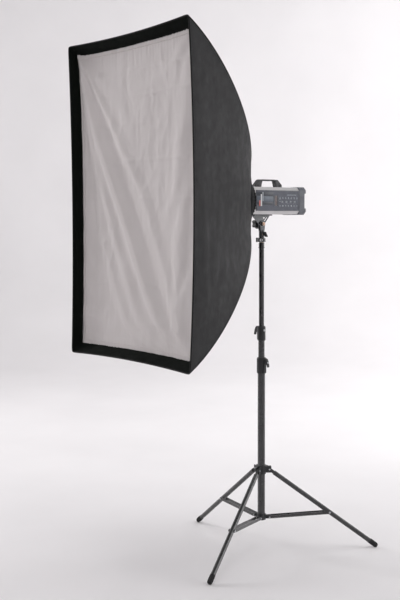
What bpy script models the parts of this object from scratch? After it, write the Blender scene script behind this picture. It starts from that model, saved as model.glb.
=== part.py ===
"""Studio softbox on a flash head, a tilting swivel bracket and a folding light stand.

Lengths are in metres. The softbox faces -Y, +X is the flash head's control side and +Z is up.
Everything is laid out from the foot of the stand's column, and a root empty then moves the
whole object so that its origin is the middle of its box, on the floor.
"""

import math

import bmesh
import bpy
from mathutils import Matrix, Vector

GAP = 0.0003          # clearance between pieces that rest against each other
SMOOTH_ANGLE = math.radians(35)

# Heights of the flash head's optical axis and of the bracket's tilt pivot, on the column's line
AXIS_Z = 1.428
PIVOT_Z = 1.336

# Softbox
FRONT_W = 0.80
FRONT_H = 1.20
FRONT_Y = -0.650
CORNER_R = math.hypot(FRONT_W / 2, FRONT_H / 2)
# Cubic curve of a rod: share of the front section, and depth behind the front plane
ROD_CURVE = ((1.0, 0.0), (0.85, 0.193), (0.40, 0.537), (0.12, 0.530))
SKIN = 0.002
SKIN_END = 0.90       # where the skin stops along the rod curve, short of the ring
SEAM_INSET = 0.0032
LIP_DEPTH = 0.036
LIP_IN_X = 0.018
LIP_IN_Z = 0.034
LIP_EDGE = 0.0028
CLOTH = 0.0015
BAFFLE_T = 0.50
BAFFLE_SHARE = 0.87
ROD_RADIUS = 0.002
ROD_INSET = 0.010
ROD_START = 0.085
SOCKET_T = 0.955
SOCKET_END_R = 0.110
SOCKET_RADIUS = 0.0055
RING_OUTER = 0.075
RING_INNER = 0.053
RING_HALF = 0.009
LIP_OVER = 0.002       # how far the diffuser reaches in behind the lip
CLOTH_GAP = 0.0012     # between two cloths that lie on each other
COLLAR_EASE = 0.004
NECK_R = 0.080
NECK_Y = -0.098

# Flash head
HEAD_W = 0.110
HEAD_H = 0.108
HEAD_CHAMFER = 0.013
HEAD_FRONT = -0.105
HEAD_REAR = 0.187
FRAME_LENGTH = 0.020
REAR_FRAME_LENGTH = 0.034
HORN_SPACE = 0.030     # half the gap between the rear frame's bumper horns
HORN_DEPTH = 0.007
FRAME_PROUD = 0.002
WALL = 0.002
SIDE_W = 0.226        # control panel, along Y
SIDE_H = 0.082
SIDE_Y = 0.038
SIDE_T = 0.003
DISPLAY_Y = 0.026
DISPLAY_SIZE = (0.016, 0.040)
BUTTON_SIZE = (0.0098, 0.0058)
BUTTON_FIRST_Y = 0.058
BUTTON_PITCH = 0.022
BUTTON_Z = -0.004
BUTTONS = 4
HANDLE_LOOP = ((-0.041, 0.0), (-0.041, 0.009), (-0.020, 0.031), (0.077, 0.031), (0.099, 0.010),
               (0.099, 0.0), (0.068, 0.0), (0.061, 0.0255), (-0.003, 0.0255), (-0.010, 0.0))
HANDLE_W = 0.022

# Bracket
WEB_T = 0.0045
CHEEK_T = 0.005
CHEEK_R = 0.0125
BOLT_R = 0.004
ADAPTER_R = 0.0112
ADAPTER_TOP = 1.311
ADAPTER_FOOT = 1.2625
COLLAR_TOP = 1.280
COLLAR_R = 0.0165
SPIGOT_R = 0.0079
SPIGOT_TOP = 1.3000
SCREW_Z = 1.294
CLAMP_SCREW_Z = 1.271
SPIGOT_WING = (0.022, 0.003, 0.019, -62.0)
ADAPTER_WING = (0.018, 0.004, 0.016, 90.0)
LEVER_HALF = 0.0045
LEVER_ARM = ((0.0, 0.0150), (0.0060, 0.0138), (0.0115, 0.0090), (0.0155, 0.0010),
             (0.0185, -0.0090), (0.0205, -0.0195), (0.0168, -0.0215), (0.0130, -0.0125),
             (0.0085, -0.0060), (0.0050, -0.0080), (0.0, -0.0080))    # outwards and up

# Stand
COLUMN_R = 0.0152
MIDDLE_R = 0.0129
TOP_R = 0.0105
TUBE_WALL = 0.0016
COLUMN_BOTTOM = 0.1245
COLUMN_TOP = 0.7645
MIDDLE_BOTTOM = 0.300
MIDDLE_TOP = 0.894
TOP_BOTTOM = 0.620
SLEEVE_FOOT = 1.2385
SLEEVE_TOP = 1.2610
LOWER_CLAMP = (0.7300, 0.7950)
UPPER_CLAMP = (0.8640, 0.9230)
LEG_ANGLES = (176.4, 296.4, 56.4)
KNOB_ANGLE = 116.4
FOOT_RADIUS = 0.474   # from the column to where a foot touches the floor
BALL_R = 0.0105
CAP_R = 0.0106        # the foot's sleeve about the leg
FOOT_FLAT = 0.0007    # how far the floor presses the foot's round end flat
BALL_Z = BALL_R - FOOT_FLAT
LEG_R = 0.0095
HINGE_R = 0.033
COLLAR_OUTER = 0.0188
LUG_START = 0.0165          # a collar's lugs begin inside its wall
LEG_LUG = (0.0405, 0.0078, 0.013)       # where a lug ends, its half width and half height
BRACE_LUG = (0.0395, 0.004, 0.008)
SLOT_START = 0.0215
SLOT_HALF = 0.0045          # half the slot a leg's tang turns in
TANG_HALF = 0.004
LEG_TUBE_START = 0.024      # down the leg from its hinge
RIVET_R = 0.0042
RIVET_PROUD = 0.0017        # how far a brace's pins stand out of its bars
LEG_HINGE_Z = 0.334
BRACE_HINGE_Z = 0.137
BRACE_SHARE = 0.563   # where the brace meets the leg, along the leg
BAR_SIDE = 0.0113
BAR_T = 0.002
BAR_W = 0.012
PIN_R = 0.003
PIN_HOLE = 0.0034

PARTS = bpy.data.collections.new("studio_softbox")
CUTTERS = bpy.data.collections.new("cutters")
PLACES = {}
LOOKS = {}


# ---- scene, materials and pivots -------------------------------------------------------

def clear_scene():
    for obj in list(bpy.data.objects):
        bpy.data.objects.remove(obj, do_unlink=True)
    for collection in (PARTS, CUTTERS):
        bpy.context.scene.collection.children.link(collection)


def look(name, colour, roughness, metallic=0.0, alpha=1.0):
    made = bpy.data.materials.new(name)
    made.use_nodes = True
    shader = made.node_tree.nodes["Principled BSDF"]
    shader.inputs["Base Color"].default_value = (*colour, 1.0)
    shader.inputs["Roughness"].default_value = roughness
    shader.inputs["Metallic"].default_value = metallic
    shader.inputs["Alpha"].default_value = alpha
    made.diffuse_color = (*colour, alpha)
    LOOKS[name] = made


def make_looks():
    look("black_nylon", (0.030, 0.032, 0.034), 0.70)
    look("white_cloth", (0.62, 0.59, 0.55), 0.85)
    look("spring_steel", (0.30, 0.30, 0.31), 0.35, 1.0)
    look("cast_alloy", (0.10, 0.10, 0.105), 0.45, 0.6)
    look("chrome", (0.70, 0.70, 0.72), 0.20, 1.0)
    look("silver_housing", (0.42, 0.44, 0.47), 0.45, 0.4)
    look("slate_plastic", (0.075, 0.085, 0.105), 0.45)
    look("black_plastic", (0.020, 0.021, 0.023), 0.50)
    look("button_grey", (0.30, 0.31, 0.33), 0.50)
    look("display_amber", (0.10, 0.045, 0.025), 0.15)
    look("glass", (0.90, 0.92, 0.93), 0.05, 0.0, 0.35)
    look("board_green", (0.02, 0.10, 0.05), 0.50)
    look("brass", (0.60, 0.42, 0.18), 0.35, 1.0)
    look("black_tube", (0.022, 0.023, 0.025), 0.35, 0.5)
    look("rubber", (0.016, 0.016, 0.017), 0.75)


def pivot(name, at, parent=None):
    """An empty on a joint's axis; what moves with the joint is parented to it."""
    empty = bpy.data.objects.new(name, None)
    empty.empty_display_size = 0.03
    PARTS.objects.link(empty)
    PLACES[name] = Vector(at)
    attach(empty, at, parent)
    return empty


def attach(obj, at, parent):
    """Puts obj at a place given from the column's foot, whatever it is parented to."""
    obj.location = Vector(at)
    if parent is not None:
        obj.parent = parent
        obj.location = Vector(at) - PLACES[parent.name]


def node(name, mesh, finish, parent, at=(0.0, 0.0, 0.0), turn=(0.0, 0.0, 0.0)):
    """A visible sub-part with its own material."""
    obj = bpy.data.objects.new(name, mesh)
    mesh.name = name
    PARTS.objects.link(obj)
    attach(obj, at, parent)
    obj.rotation_euler = turn
    mesh.materials.append(LOOKS[finish])
    mesh.shade_smooth()
    mesh.set_sharp_from_angle(angle=SMOOTH_ANGLE)
    return obj


def shape_with(obj, mesh, operation, turn=None, at=None):
    """Cuts a helper shape out of obj, or joins it on; the helper shares obj's place."""
    tool = bpy.data.objects.new(f"{obj.name}_tool", mesh)
    CUTTERS.objects.link(tool)
    tool.parent = obj.parent
    tool.location = obj.location if at is None else at
    tool.rotation_euler = obj.rotation_euler if turn is None else turn
    tool.hide_render = True
    tool.display_type = "WIRE"
    boolean = obj.modifiers.new(tool.name, "BOOLEAN")
    boolean.operation = operation
    boolean.solver = "EXACT"
    boolean.object = tool


def cut(obj, *meshes, **place):
    for mesh in meshes:
        shape_with(obj, mesh, "DIFFERENCE", **place)


def join(obj, *meshes, **place):
    for mesh in meshes:
        shape_with(obj, mesh, "UNION", **place)


def round_edges(obj, width, segments=1):
    bevel = obj.modifiers.new("rounded_edges", "BEVEL")
    bevel.width = width
    bevel.segments = segments
    bevel.limit_method = "ANGLE"
    bevel.angle_limit = math.radians(40)


# ---- mesh makers -----------------------------------------------------------------------

AXIS_TURNS = {
    "X": Matrix.Rotation(math.pi / 2, 4, "Y"),
    "Y": Matrix.Rotation(-math.pi / 2, 4, "X"),
    "Z": Matrix.Identity(4),
}
# Planes of a flat outline: columns are where its two directions and its thickness point
PLANES = {
    "YZ": Matrix(((0, 0, 1, 0), (1, 0, 0, 0), (0, 1, 0, 0), (0, 0, 0, 1))),
    "XZ": Matrix(((1, 0, 0, 0), (0, 0, -1, 0), (0, 1, 0, 0), (0, 0, 0, 1))),
}


def finished(bm, name):
    mesh = bpy.data.meshes.new(name)
    bm.to_mesh(mesh)
    bm.free()
    return mesh


def block(low, high):
    """A box between two opposite corners."""
    low, high = Vector(low), Vector(high)
    size = Matrix.Diagonal((*(high - low), 1.0))
    bm = bmesh.new()
    bmesh.ops.create_cube(bm, size=1.0, matrix=Matrix.Translation((low + high) / 2) @ size)
    return finished(bm, "block")


def cylinder(radius, start, end, axis, across=(0.0, 0.0), sides=16):
    """A solid cylinder along an axis, from start to end; across is its centre on the others."""
    middle = (start + end) / 2
    place = {
        "X": (middle, across[0], across[1]),
        "Y": (across[0], middle, across[1]),
        "Z": (across[0], across[1], middle),
    }[axis]
    bm = bmesh.new()
    bmesh.ops.create_cone(
        bm, cap_ends=True, segments=sides, radius1=radius, radius2=radius,
        depth=abs(end - start), matrix=Matrix.Translation(place) @ AXIS_TURNS[axis])
    return finished(bm, "cylinder")


def bar_between(start, end, radius, sides=12):
    """A solid round bar between two points."""
    start, end = Vector(start), Vector(end)
    turn = (end - start).to_track_quat("Z", "Y").to_matrix().to_4x4()
    bm = bmesh.new()
    bmesh.ops.create_cone(
        bm, cap_ends=True, segments=sides, radius1=radius, radius2=radius,
        depth=(end - start).length, matrix=Matrix.Translation((start + end) / 2) @ turn)
    return finished(bm, "bar")


def turned(name, profile, finish, parent, at, sides=24, closed=True, turn=(0.0, 0.0, 0.0)):
    """A turned piece: the profile of (radius, height) goes down its outer side."""
    bm = bmesh.new()
    points = [bm.verts.new((radius, 0.0, height)) for radius, height in profile]
    for start, end in zip(points, points[1:]):
        bm.edges.new((start, end))
    if closed:
        bm.edges.new((points[-1], points[0]))
    obj = node(name, finished(bm, name), finish, parent, at, turn)
    screw = obj.modifiers.new("turned", "SCREW")
    screw.steps = sides
    screw.render_steps = sides
    screw.use_merge_vertices = True
    screw.merge_threshold = 0.00001
    return obj


def tube_profile(outer, inner, bottom, top):
    return ((outer, top), (outer, bottom), (inner, bottom), (inner, top))


def mesh_of_curve(curve):
    """The closed mesh of a filled or bevelled curve."""
    guide = bpy.data.objects.new("guide", curve)
    CUTTERS.objects.link(guide)
    graph = bpy.context.evaluated_depsgraph_get()
    mesh = bpy.data.meshes.new_from_object(guide.evaluated_get(graph))
    bpy.data.objects.remove(guide, do_unlink=True)
    bm = bmesh.new()
    bm.from_mesh(mesh)
    bmesh.ops.remove_doubles(bm, verts=bm.verts, dist=0.000005)
    bm.to_mesh(mesh)
    bm.free()
    return mesh


FILL_SCALE = 100      # outlines are filled at this size, because the fill merges close points


def plate(loops, start, end, plane):
    """A flat outline, with any further loops as holes, thick from start to end."""
    curve = bpy.data.curves.new("outline", "CURVE")
    curve.dimensions = "2D"
    curve.fill_mode = "BOTH"
    curve.extrude = abs(end - start) / 2 * FILL_SCALE
    for loop in loops:
        spline = curve.splines.new("POLY")
        spline.points.add(len(loop) - 1)
        for point, (across, up) in zip(spline.points, loop):
            point.co = (across * FILL_SCALE, up * FILL_SCALE, 0.0, 1.0)
        spline.use_cyclic_u = True
    mesh = mesh_of_curve(curve)
    normal = {"YZ": Vector((1, 0, 0)), "XZ": Vector((0, 1, 0))}[plane]
    shift = Matrix.Translation(normal * (start + end) / 2)
    mesh.transform(shift @ PLANES[plane] @ Matrix.Scale(1 / FILL_SCALE, 4))
    return mesh


def wire(points, radius):
    """A round wire through the points."""
    curve = bpy.data.curves.new("wire", "CURVE")
    curve.dimensions = "3D"
    curve.bevel_depth = radius
    curve.bevel_resolution = 1
    curve.use_fill_caps = True
    spline = curve.splines.new("POLY")
    spline.points.add(len(points) - 1)
    for point, place in zip(spline.points, points):
        point.co = (*place, 1.0)
    return mesh_of_curve(curve)


def chamfered(width, height, chamfer):
    x, z = width / 2, height / 2
    return [(x, z - chamfer), (x - chamfer, z), (chamfer - x, z), (-x, z - chamfer),
            (-x, chamfer - z), (chamfer - x, -z), (x - chamfer, -z), (x, chamfer - z)]


def circle(radius, sides, centre=(0.0, 0.0)):
    turns = [2 * math.pi * (i + 0.5) / sides for i in range(sides)]
    return [(centre[0] + radius * math.cos(a), centre[1] + radius * math.sin(a)) for a in turns]


def lobed(radius, dip, lobes, sides):
    """The outline of a star knob."""
    turns = [2 * math.pi * i / sides for i in range(sides)]
    return [((radius + dip * math.cos(lobes * a)) * math.cos(a),
             (radius + dip * math.cos(lobes * a)) * math.sin(a)) for a in turns]


def stadium(length, width, angle, ends=6):
    """A bar with round ends from the origin, its angle measured up from the first direction."""
    half = []
    for end, middle in ((0.0, math.pi), (length, 0.0)):
        for i in range(ends + 1):
            a = middle - math.pi / 2 + math.pi * i / ends
            half.append((end + width / 2 * math.cos(a), width / 2 * math.sin(a)))
    c, s = math.cos(angle), math.sin(angle)
    return [(c * across - s * up, s * across + c * up) for across, up in half]


# ---- softbox ---------------------------------------------------------------------------

def rod_line(t):
    """Share of the front section and depth behind the front plane, t from front to ring."""
    weights = ((1 - t) ** 3, 3 * (1 - t) ** 2 * t, 3 * (1 - t) * t ** 2, t ** 3)
    return tuple(sum(w * p[i] for w, p in zip(weights, ROD_CURVE)) for i in (0, 1))


def rod_place(t):
    """Radius from the axis and depth of a rod, which lies inside the skin's ridge."""
    step = 0.001
    share, depth = rod_line(t)
    ahead, behind = rod_line(t + step), rod_line(t - step)
    along = Vector(((ahead[0] - behind[0]) * CORNER_R, ahead[1] - behind[1])).normalized()
    return share * CORNER_R - along.y * ROD_INSET, depth + along.x * ROD_INSET


RING_Y = FRONT_Y + rod_place(SOCKET_T)[1]


def skin_panel(name, side, parent):
    """One of four cloth panels; side is +X, -X, +Z or -Z."""
    bm = bmesh.new()
    bmesh.ops.create_grid(bm, x_segments=2, y_segments=14, size=0.5)
    sign = 1 if side[0] == "+" else -1
    for vert in bm.verts:
        share, depth = rod_line((vert.co.y + 0.5) * SKIN_END)
        across = vert.co.x * 2
        if side[1] == "X":
            half = FRONT_H / 2 * share - SEAM_INSET
            vert.co = (sign * FRONT_W / 2 * share, FRONT_Y + depth, across * half)
        else:
            half = FRONT_W / 2 * share - SEAM_INSET
            vert.co = (across * half, FRONT_Y + depth, sign * FRONT_H / 2 * share)
    bm.normal_update()
    outward = Vector((sign, 0, 0)) if side[1] == "X" else Vector((0, 0, sign))
    if sum(face.normal.dot(outward) for face in bm.faces) < 0:
        bmesh.ops.reverse_faces(bm, faces=bm.faces)
    obj = node(name, finished(bm, name), "black_nylon", parent, (0, 0, AXIS_Z))
    skin = obj.modifiers.new("skin", "SOLIDIFY")
    skin.thickness = SKIN
    skin.offset = -1.0


def front_lip(parent):
    """The black border that runs back and in from the front edge to the diffuser."""
    bm = bmesh.new()
    bmesh.ops.create_cone(bm, cap_ends=False, segments=4, radius1=1.0, radius2=1.0, depth=1.0,
                          matrix=Matrix.Rotation(math.pi / 4, 4, "Z"))
    for vert in bm.verts:
        front = vert.co.z < 0
        x = FRONT_W / 2 - (LIP_EDGE if front else LIP_IN_X)
        z = FRONT_H / 2 - (LIP_EDGE if front else LIP_IN_Z)
        y = FRONT_Y + (0.0 if front else LIP_DEPTH)
        vert.co = (math.copysign(x, vert.co.x), y, math.copysign(z, -vert.co.y))
    obj = node("front_lip", finished(bm, "lip"), "black_nylon", parent, (0, 0, AXIS_Z))
    skin = obj.modifiers.new("skin", "SOLIDIFY")
    skin.thickness = CLOTH
    skin.offset = -1.0


def cloths(parent):
    half_x = FRONT_W / 2 - LIP_IN_X + LIP_OVER
    half_z = FRONT_H / 2 - LIP_IN_Z + LIP_OVER
    front = FRONT_Y + LIP_DEPTH + CLOTH_GAP
    sheet = block((-half_x, front, -half_z), (half_x, front + CLOTH, half_z))
    node("front_diffuser", sheet, "white_cloth", parent, (0, 0, AXIS_Z))
    share, depth = rod_line(BAFFLE_T)
    half_x = FRONT_W / 2 * share * BAFFLE_SHARE
    half_z = FRONT_H / 2 * share * BAFFLE_SHARE
    outline = chamfered(2 * half_x, 2 * half_z, 0.012)
    sheet = plate([outline], FRONT_Y + depth, FRONT_Y + depth + CLOTH, "XZ")
    node("inner_baffle", sheet, "white_cloth", parent, (0, 0, AXIS_Z))


def diagonals():
    """Unit directions from the axis to the four front corners."""
    x, z = FRONT_W / 2 / CORNER_R, FRONT_H / 2 / CORNER_R
    return [(sx * x, sz * z) for sx, sz in ((1, 1), (-1, 1), (-1, -1), (1, -1))]


def rods(parent):
    count = 12
    for number, (x, z) in enumerate(diagonals(), 1):
        points = []
        for i in range(count):
            radius, depth = rod_place(ROD_START + (SOCKET_T - ROD_START) * i / (count - 1))
            points.append((x * radius, FRONT_Y + depth, z * radius))
        end = SOCKET_END_R - 0.022
        points.append((x * end, RING_Y, z * end))
        node(f"rod_{number}", wire(points, ROD_RADIUS), "spring_steel", parent, (0, 0, AXIS_Z))


def speedring(parent):
    obj = turned("speedring", tube_profile(RING_OUTER, RING_INNER, -RING_HALF, RING_HALF),
                 "cast_alloy", parent, (0, RING_Y, AXIS_Z), sides=32, turn=(-math.pi / 2, 0, 0))
    at = obj.location.copy()
    for x, z in diagonals():
        start, end = RING_OUTER - 0.010, SOCKET_END_R
        socket = bar_between((x * start, 0, z * start), (x * end, 0, z * end), SOCKET_RADIUS)
        join(obj, socket, turn=(0, 0, 0), at=at)
    for x, z in diagonals():
        start, end = SOCKET_END_R - 0.024, SOCKET_END_R + 0.01
        bore = bar_between((x * start, 0, z * start), (x * end, 0, z * end), 0.0028)
        cut(obj, bore, turn=(0, 0, 0), at=at)


def rear_collar(parent):
    """Cloth skirt from the skin's rear opening to a round neck about the flash head."""
    share, depth = rod_line(SKIN_END)
    half_x = FRONT_W / 2 * share + COLLAR_EASE
    half_z = FRONT_H / 2 * share + COLLAR_EASE
    front_y = FRONT_Y + depth + CLOTH_GAP
    sides = 32
    bm = bmesh.new()
    bmesh.ops.create_cone(bm, cap_ends=False, segments=sides, radius1=1, radius2=1, depth=1)
    for vert in bm.verts:
        x, z = vert.co.x, -vert.co.y
        if vert.co.z > 0:
            vert.co = (x * NECK_R, NECK_Y, z * NECK_R)
        else:
            reach = 1 / max(abs(x) / half_x, abs(z) / half_z)
            vert.co = (x * reach, front_y, z * reach)
    obj = node("rear_collar", finished(bm, "collar"), "black_nylon", parent, (0, 0, AXIS_Z))
    skin = obj.modifiers.new("skin", "SOLIDIFY")
    skin.thickness = CLOTH
    skin.offset = 1.0


def softbox(parent):
    for name, side in (("panel_right", "+X"), ("panel_left", "-X"),
                       ("panel_top", "+Z"), ("panel_bottom", "-Z")):
        skin_panel(name, side, parent)
    front_lip(parent)
    cloths(parent)
    rods(parent)
    speedring(parent)
    rear_collar(parent)


# ---- flash head ------------------------------------------------------------------------

FACE_Y = HEAD_FRONT + FRAME_LENGTH - 0.006     # the lamp plate's face, inside the front frame
HOUSING_FRONT = HEAD_FRONT + FRAME_LENGTH + GAP
HOUSING_REAR = HEAD_REAR - REAR_FRAME_LENGTH - GAP
FRAME_W = HEAD_W + 2 * FRAME_PROUD
FRAME_H = HEAD_H + 2 * FRAME_PROUD
LAMP_CUP_R = 0.046


def head_frames(head):
    centre = (0, 0, AXIS_Z)
    outer = chamfered(FRAME_W, FRAME_H, HEAD_CHAMFER)
    mesh = plate([outer, circle(LAMP_CUP_R, 32)], HEAD_FRONT, HEAD_FRONT + FRAME_LENGTH, "XZ")
    front = node("front_frame", mesh, "black_plastic", head, centre)
    join(front, cylinder(LAMP_CUP_R + 0.002, FACE_Y, FACE_Y + 0.004, "Y", sides=32))

    opening = chamfered(HEAD_W - 0.012, HEAD_H - 0.012, 0.008)
    mesh = plate([outer, opening], HEAD_REAR - REAR_FRAME_LENGTH, HEAD_REAR, "XZ")
    rear = node("rear_frame", mesh, "black_plastic", head, centre)
    wide, deep = FRAME_W / 2 + 0.01, HORN_DEPTH
    # The rear edge is cut back between the corners, which leaves a bumper horn at each
    cut(rear, block((-wide, HEAD_REAR - deep, -HORN_SPACE), (wide, HEAD_REAR + deep, HORN_SPACE)))
    cut(rear, block((-HORN_SPACE, HEAD_REAR - deep, -wide), (HORN_SPACE, HEAD_REAR + deep, wide)))


def housing(head):
    outer = chamfered(HEAD_W, HEAD_H, HEAD_CHAMFER)
    inner = chamfered(HEAD_W - 2 * WALL, HEAD_H - 2 * WALL, HEAD_CHAMFER - 0.6 * WALL)
    mesh = plate([outer, inner], HOUSING_FRONT, HOUSING_REAR, "XZ")
    node("housing", mesh, "silver_housing", head, (0, 0, AXIS_Z))


SWITCH_X, SWITCH_Z = 0.022, -0.026
INLET_X, INLET_Z = -0.022, -0.026
FAN_Z = 0.014
FAN_R = 0.027
PANEL_FRONT = HEAD_REAR - 0.0185                # the rear panel's two faces
PANEL_BACK = PANEL_FRONT + 0.003
FAN_Y = HEAD_REAR - 0.030


def rear_panel(head):
    outline = chamfered(HEAD_W - 0.0128, HEAD_H - 0.0128, 0.008)
    panel = node("rear_panel", plate([outline], PANEL_FRONT, PANEL_BACK, "XZ"),
                 "slate_plastic", head, (0, 0, AXIS_Z))
    low, high = PANEL_FRONT - 0.01, PANEL_BACK + 0.01
    cut(panel, block((SWITCH_X - 0.008, low, SWITCH_Z - 0.0125),
                     (SWITCH_X + 0.008, high, SWITCH_Z + 0.0125)))
    cut(panel, block((INLET_X - 0.0135, low, INLET_Z - 0.0105),
                     (INLET_X + 0.0135, high, INLET_Z + 0.0105)))
    for i in range(5):
        z = FAN_Z + (i - 2) * 0.009
        half = math.sqrt(FAN_R ** 2 - (z - FAN_Z) ** 2) - 0.002
        cut(panel, block((-half, low, z - 0.002), (half, high, z + 0.002)))


def inlet_and_switch(head):
    at = (INLET_X, 0, AXIS_Z + INLET_Z)
    back = PANEL_BACK + GAP
    body = node("mains_inlet", block((-0.013, back - 0.014, -0.010), (0.013, back + 0.001, 0.010)),
                "black_plastic", head, at)
    join(body, block((-0.015, back, -0.012), (0.015, back + 0.0025, 0.012)))
    cut(body, block((-0.011, back - 0.012, -0.008), (0.011, back + 0.005, 0.008)))

    hinge = pivot("switch_pivot", (SWITCH_X, PANEL_FRONT, AXIS_Z + SWITCH_Z), head)
    side = [(-0.004, -0.0098), (0.0055, -0.0110), (0.0035, 0.0), (0.0055, 0.0110),
            (-0.004, 0.0098)]
    mesh = plate([side], -0.007, 0.007, "YZ")
    mesh.transform(Matrix.Rotation(math.radians(-8), 4, "X"))
    node("power_switch", mesh, "black_plastic", hinge, PLACES["switch_pivot"])


def inner_works(head):
    spindle = pivot("fan_pivot", (0, FAN_Y, AXIS_Z + FAN_Z), head)
    sides = 40
    blades = []
    for i in range(sides):
        angle = 2 * math.pi * i / sides
        radius = FAN_R - 0.001 if i % 8 < 5 else 0.011
        blades.append((radius * math.cos(angle), radius * math.sin(angle)))
    node("fan_rotor", plate([blades], -0.005, 0.005, "XZ"), "black_plastic", spindle,
         PLACES["fan_pivot"])
    node("capacitor", cylinder(0.020, -0.020, 0.090, "Y", sides=20), "silver_housing", head,
         (-0.028, 0, AXIS_Z + 0.022))
    node("circuit_board", block((0.034, -0.050, -0.038), (0.0356, 0.130, 0.038)),
         "board_green", head, (0, 0, AXIS_Z))


def control_panel(head):
    x = HEAD_W / 2 + GAP
    outline = [(SIDE_Y + dy * SIDE_W / 2, dz * SIDE_H / 2)
               for dy, dz in ((-1, -1), (1, -1), (1, 1), (-1, 1))]
    panel = node("side_panel", plate([outline], x, x + SIDE_T, "YZ"), "slate_plastic", head,
                 (0, 0, AXIS_Z))
    window_y, window_z = DISPLAY_SIZE[0] / 2, DISPLAY_SIZE[1] / 2
    cut(panel, block((x - 0.01, DISPLAY_Y - window_y - GAP, -window_z - GAP),
                     (x + 0.01, DISPLAY_Y + window_y + GAP, window_z + GAP)))
    node("display", block((x + 0.0008, DISPLAY_Y - window_y, -window_z),
                          (x + SIDE_T - 0.0004, DISPLAY_Y + window_y, window_z)),
         "display_amber", head, (0, 0, AXIS_Z))
    half_y, half_z = BUTTON_SIZE[0] / 2, BUTTON_SIZE[1] / 2
    for i in range(BUTTONS):
        y = BUTTON_FIRST_Y + i * BUTTON_PITCH
        cut(panel, block((x - 0.01, y - half_y - GAP, BUTTON_Z - half_z - GAP),
                         (x + 0.01, y + half_y + GAP, BUTTON_Z + half_z + GAP)))
        slide = pivot(f"button_{i + 1}_slide", (x, y, AXIS_Z + BUTTON_Z), head)
        cap = node(f"button_{i + 1}", block((0.0016, -half_y, -half_z), (0.0045, half_y, half_z)),
                   "button_grey", slide, PLACES[slide.name])
        round_edges(cap, 0.0005)


def handle(head):
    mesh = plate([list(HANDLE_LOOP)], -HANDLE_W / 2, HANDLE_W / 2, "YZ")
    obj = node("handle", mesh, "black_plastic", head, (0, 0, AXIS_Z + HEAD_H / 2 + GAP))
    round_edges(obj, 0.002)


def lamps(head):
    at = (0, FACE_Y, AXIS_Z)
    turn = (math.pi / 2, 0, 0)     # the profile's height then points forward, to -Y
    dome_r, dome_length, wall = 0.0425, 0.072, 0.002
    outer, inner = [], []
    for i in range(7):
        angle = math.pi / 2 * i / 6
        outer.append((dome_r * math.sin(angle), dome_length - dome_r * (1 - math.cos(angle))))
        radius = dome_r - wall
        inner.append((radius * math.sin(angle), dome_length - wall - radius * (1 - math.cos(angle))))
    profile = outer + [(dome_r, GAP), (dome_r - wall, GAP)] + inner[::-1]
    turned("glass_dome", profile, "glass", head, at, closed=False, turn=turn)

    ring = [(0.030 + 0.0035 * math.cos(a), 0.014 + 0.0035 * math.sin(a))
            for a in (-2 * math.pi * i / 8 for i in range(8))]
    turned("flash_tube", ring, "glass", head, at, turn=turn)
    bulb = ((0.0, 0.056), (0.006, 0.0545), (0.0105, 0.049), (0.012, 0.041), (0.0105, 0.032),
            (0.008, 0.024), (0.008, GAP), (0.0, GAP))
    turned("modelling_lamp", bulb, "glass", head, at, sides=16, closed=False, turn=turn)


def bayonet(head):
    """The ring fixed to the flash head, which the speedring turns on."""
    front, rear = RING_Y - RING_HALF + 0.001, HEAD_FRONT - GAP
    flange = RING_Y + RING_HALF + 0.0012
    neck = RING_INNER - 0.0006
    # heights count back from the origin, which is at the front
    profile = ((neck, rear), (neck, flange + 0.003), (0.062, flange + 0.003), (0.062, flange),
               (neck, flange), (neck, front), (0.047, front), (0.047, rear))
    turned("bayonet_ring", profile, "chrome", head, (0, 0, AXIS_Z), sides=32,
           turn=(-math.pi / 2, 0, 0))


def release_lever(head):
    """The sliding catch that frees the speedring, on top of the front frame."""
    top = AXIS_Z + FRAME_H / 2 + GAP
    slide = pivot("release_slide", (-0.018, HEAD_FRONT + 0.010, top), head)
    obj = node("release_lever", block((-0.009, -0.005, 0.0), (0.009, 0.005, 0.0045)),
               "chrome", slide, PLACES[slide.name])
    join(obj, block((-0.003, -0.005, 0.003), (0.003, 0.005, 0.008)))


def flash_head(head):
    head_frames(head)
    housing(head)
    rear_panel(head)
    inlet_and_switch(head)
    inner_works(head)
    control_panel(head)
    handle(head)
    lamps(head)
    bayonet(head)
    release_lever(head)


# ---- bracket ---------------------------------------------------------------------------

def bracket_plate(head):
    """Flange under the flash head, with a triangular web down to the tilt pivot."""
    top = AXIS_Z - HEAD_H / 2 - GAP - PIVOT_Z
    flange = top - 0.005
    low = [(0.011 * math.sin(a), -0.011 * math.cos(a))
           for a in (math.radians(-60 + 20 * i) for i in range(7))]
    web = low + [(0.040, flange - 0.001), (0.040, flange + 0.001),
                 (-0.046, flange + 0.001), (-0.046, flange - 0.004)]
    small_gap = [(0.0050, flange - 0.0066), (0.0198, flange - 0.0068), (0.0100, 0.0165)]
    long_gap = [(0.0232, flange - 0.0067), (0.0308, flange - 0.0064), (0.0162, 0.0082),
                (0.0122, 0.0128)]
    obj = node("bracket_plate", plate([web, small_gap, long_gap], -WEB_T / 2, WEB_T / 2, "YZ"),
               "black_tube", head, (0, 0, PIVOT_Z))
    join(obj, block((-0.016, -0.050, flange), (0.016, 0.042, top)))
    cut(obj, cylinder(BOLT_R + 0.0004, -0.02, 0.02, "X"))


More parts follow.
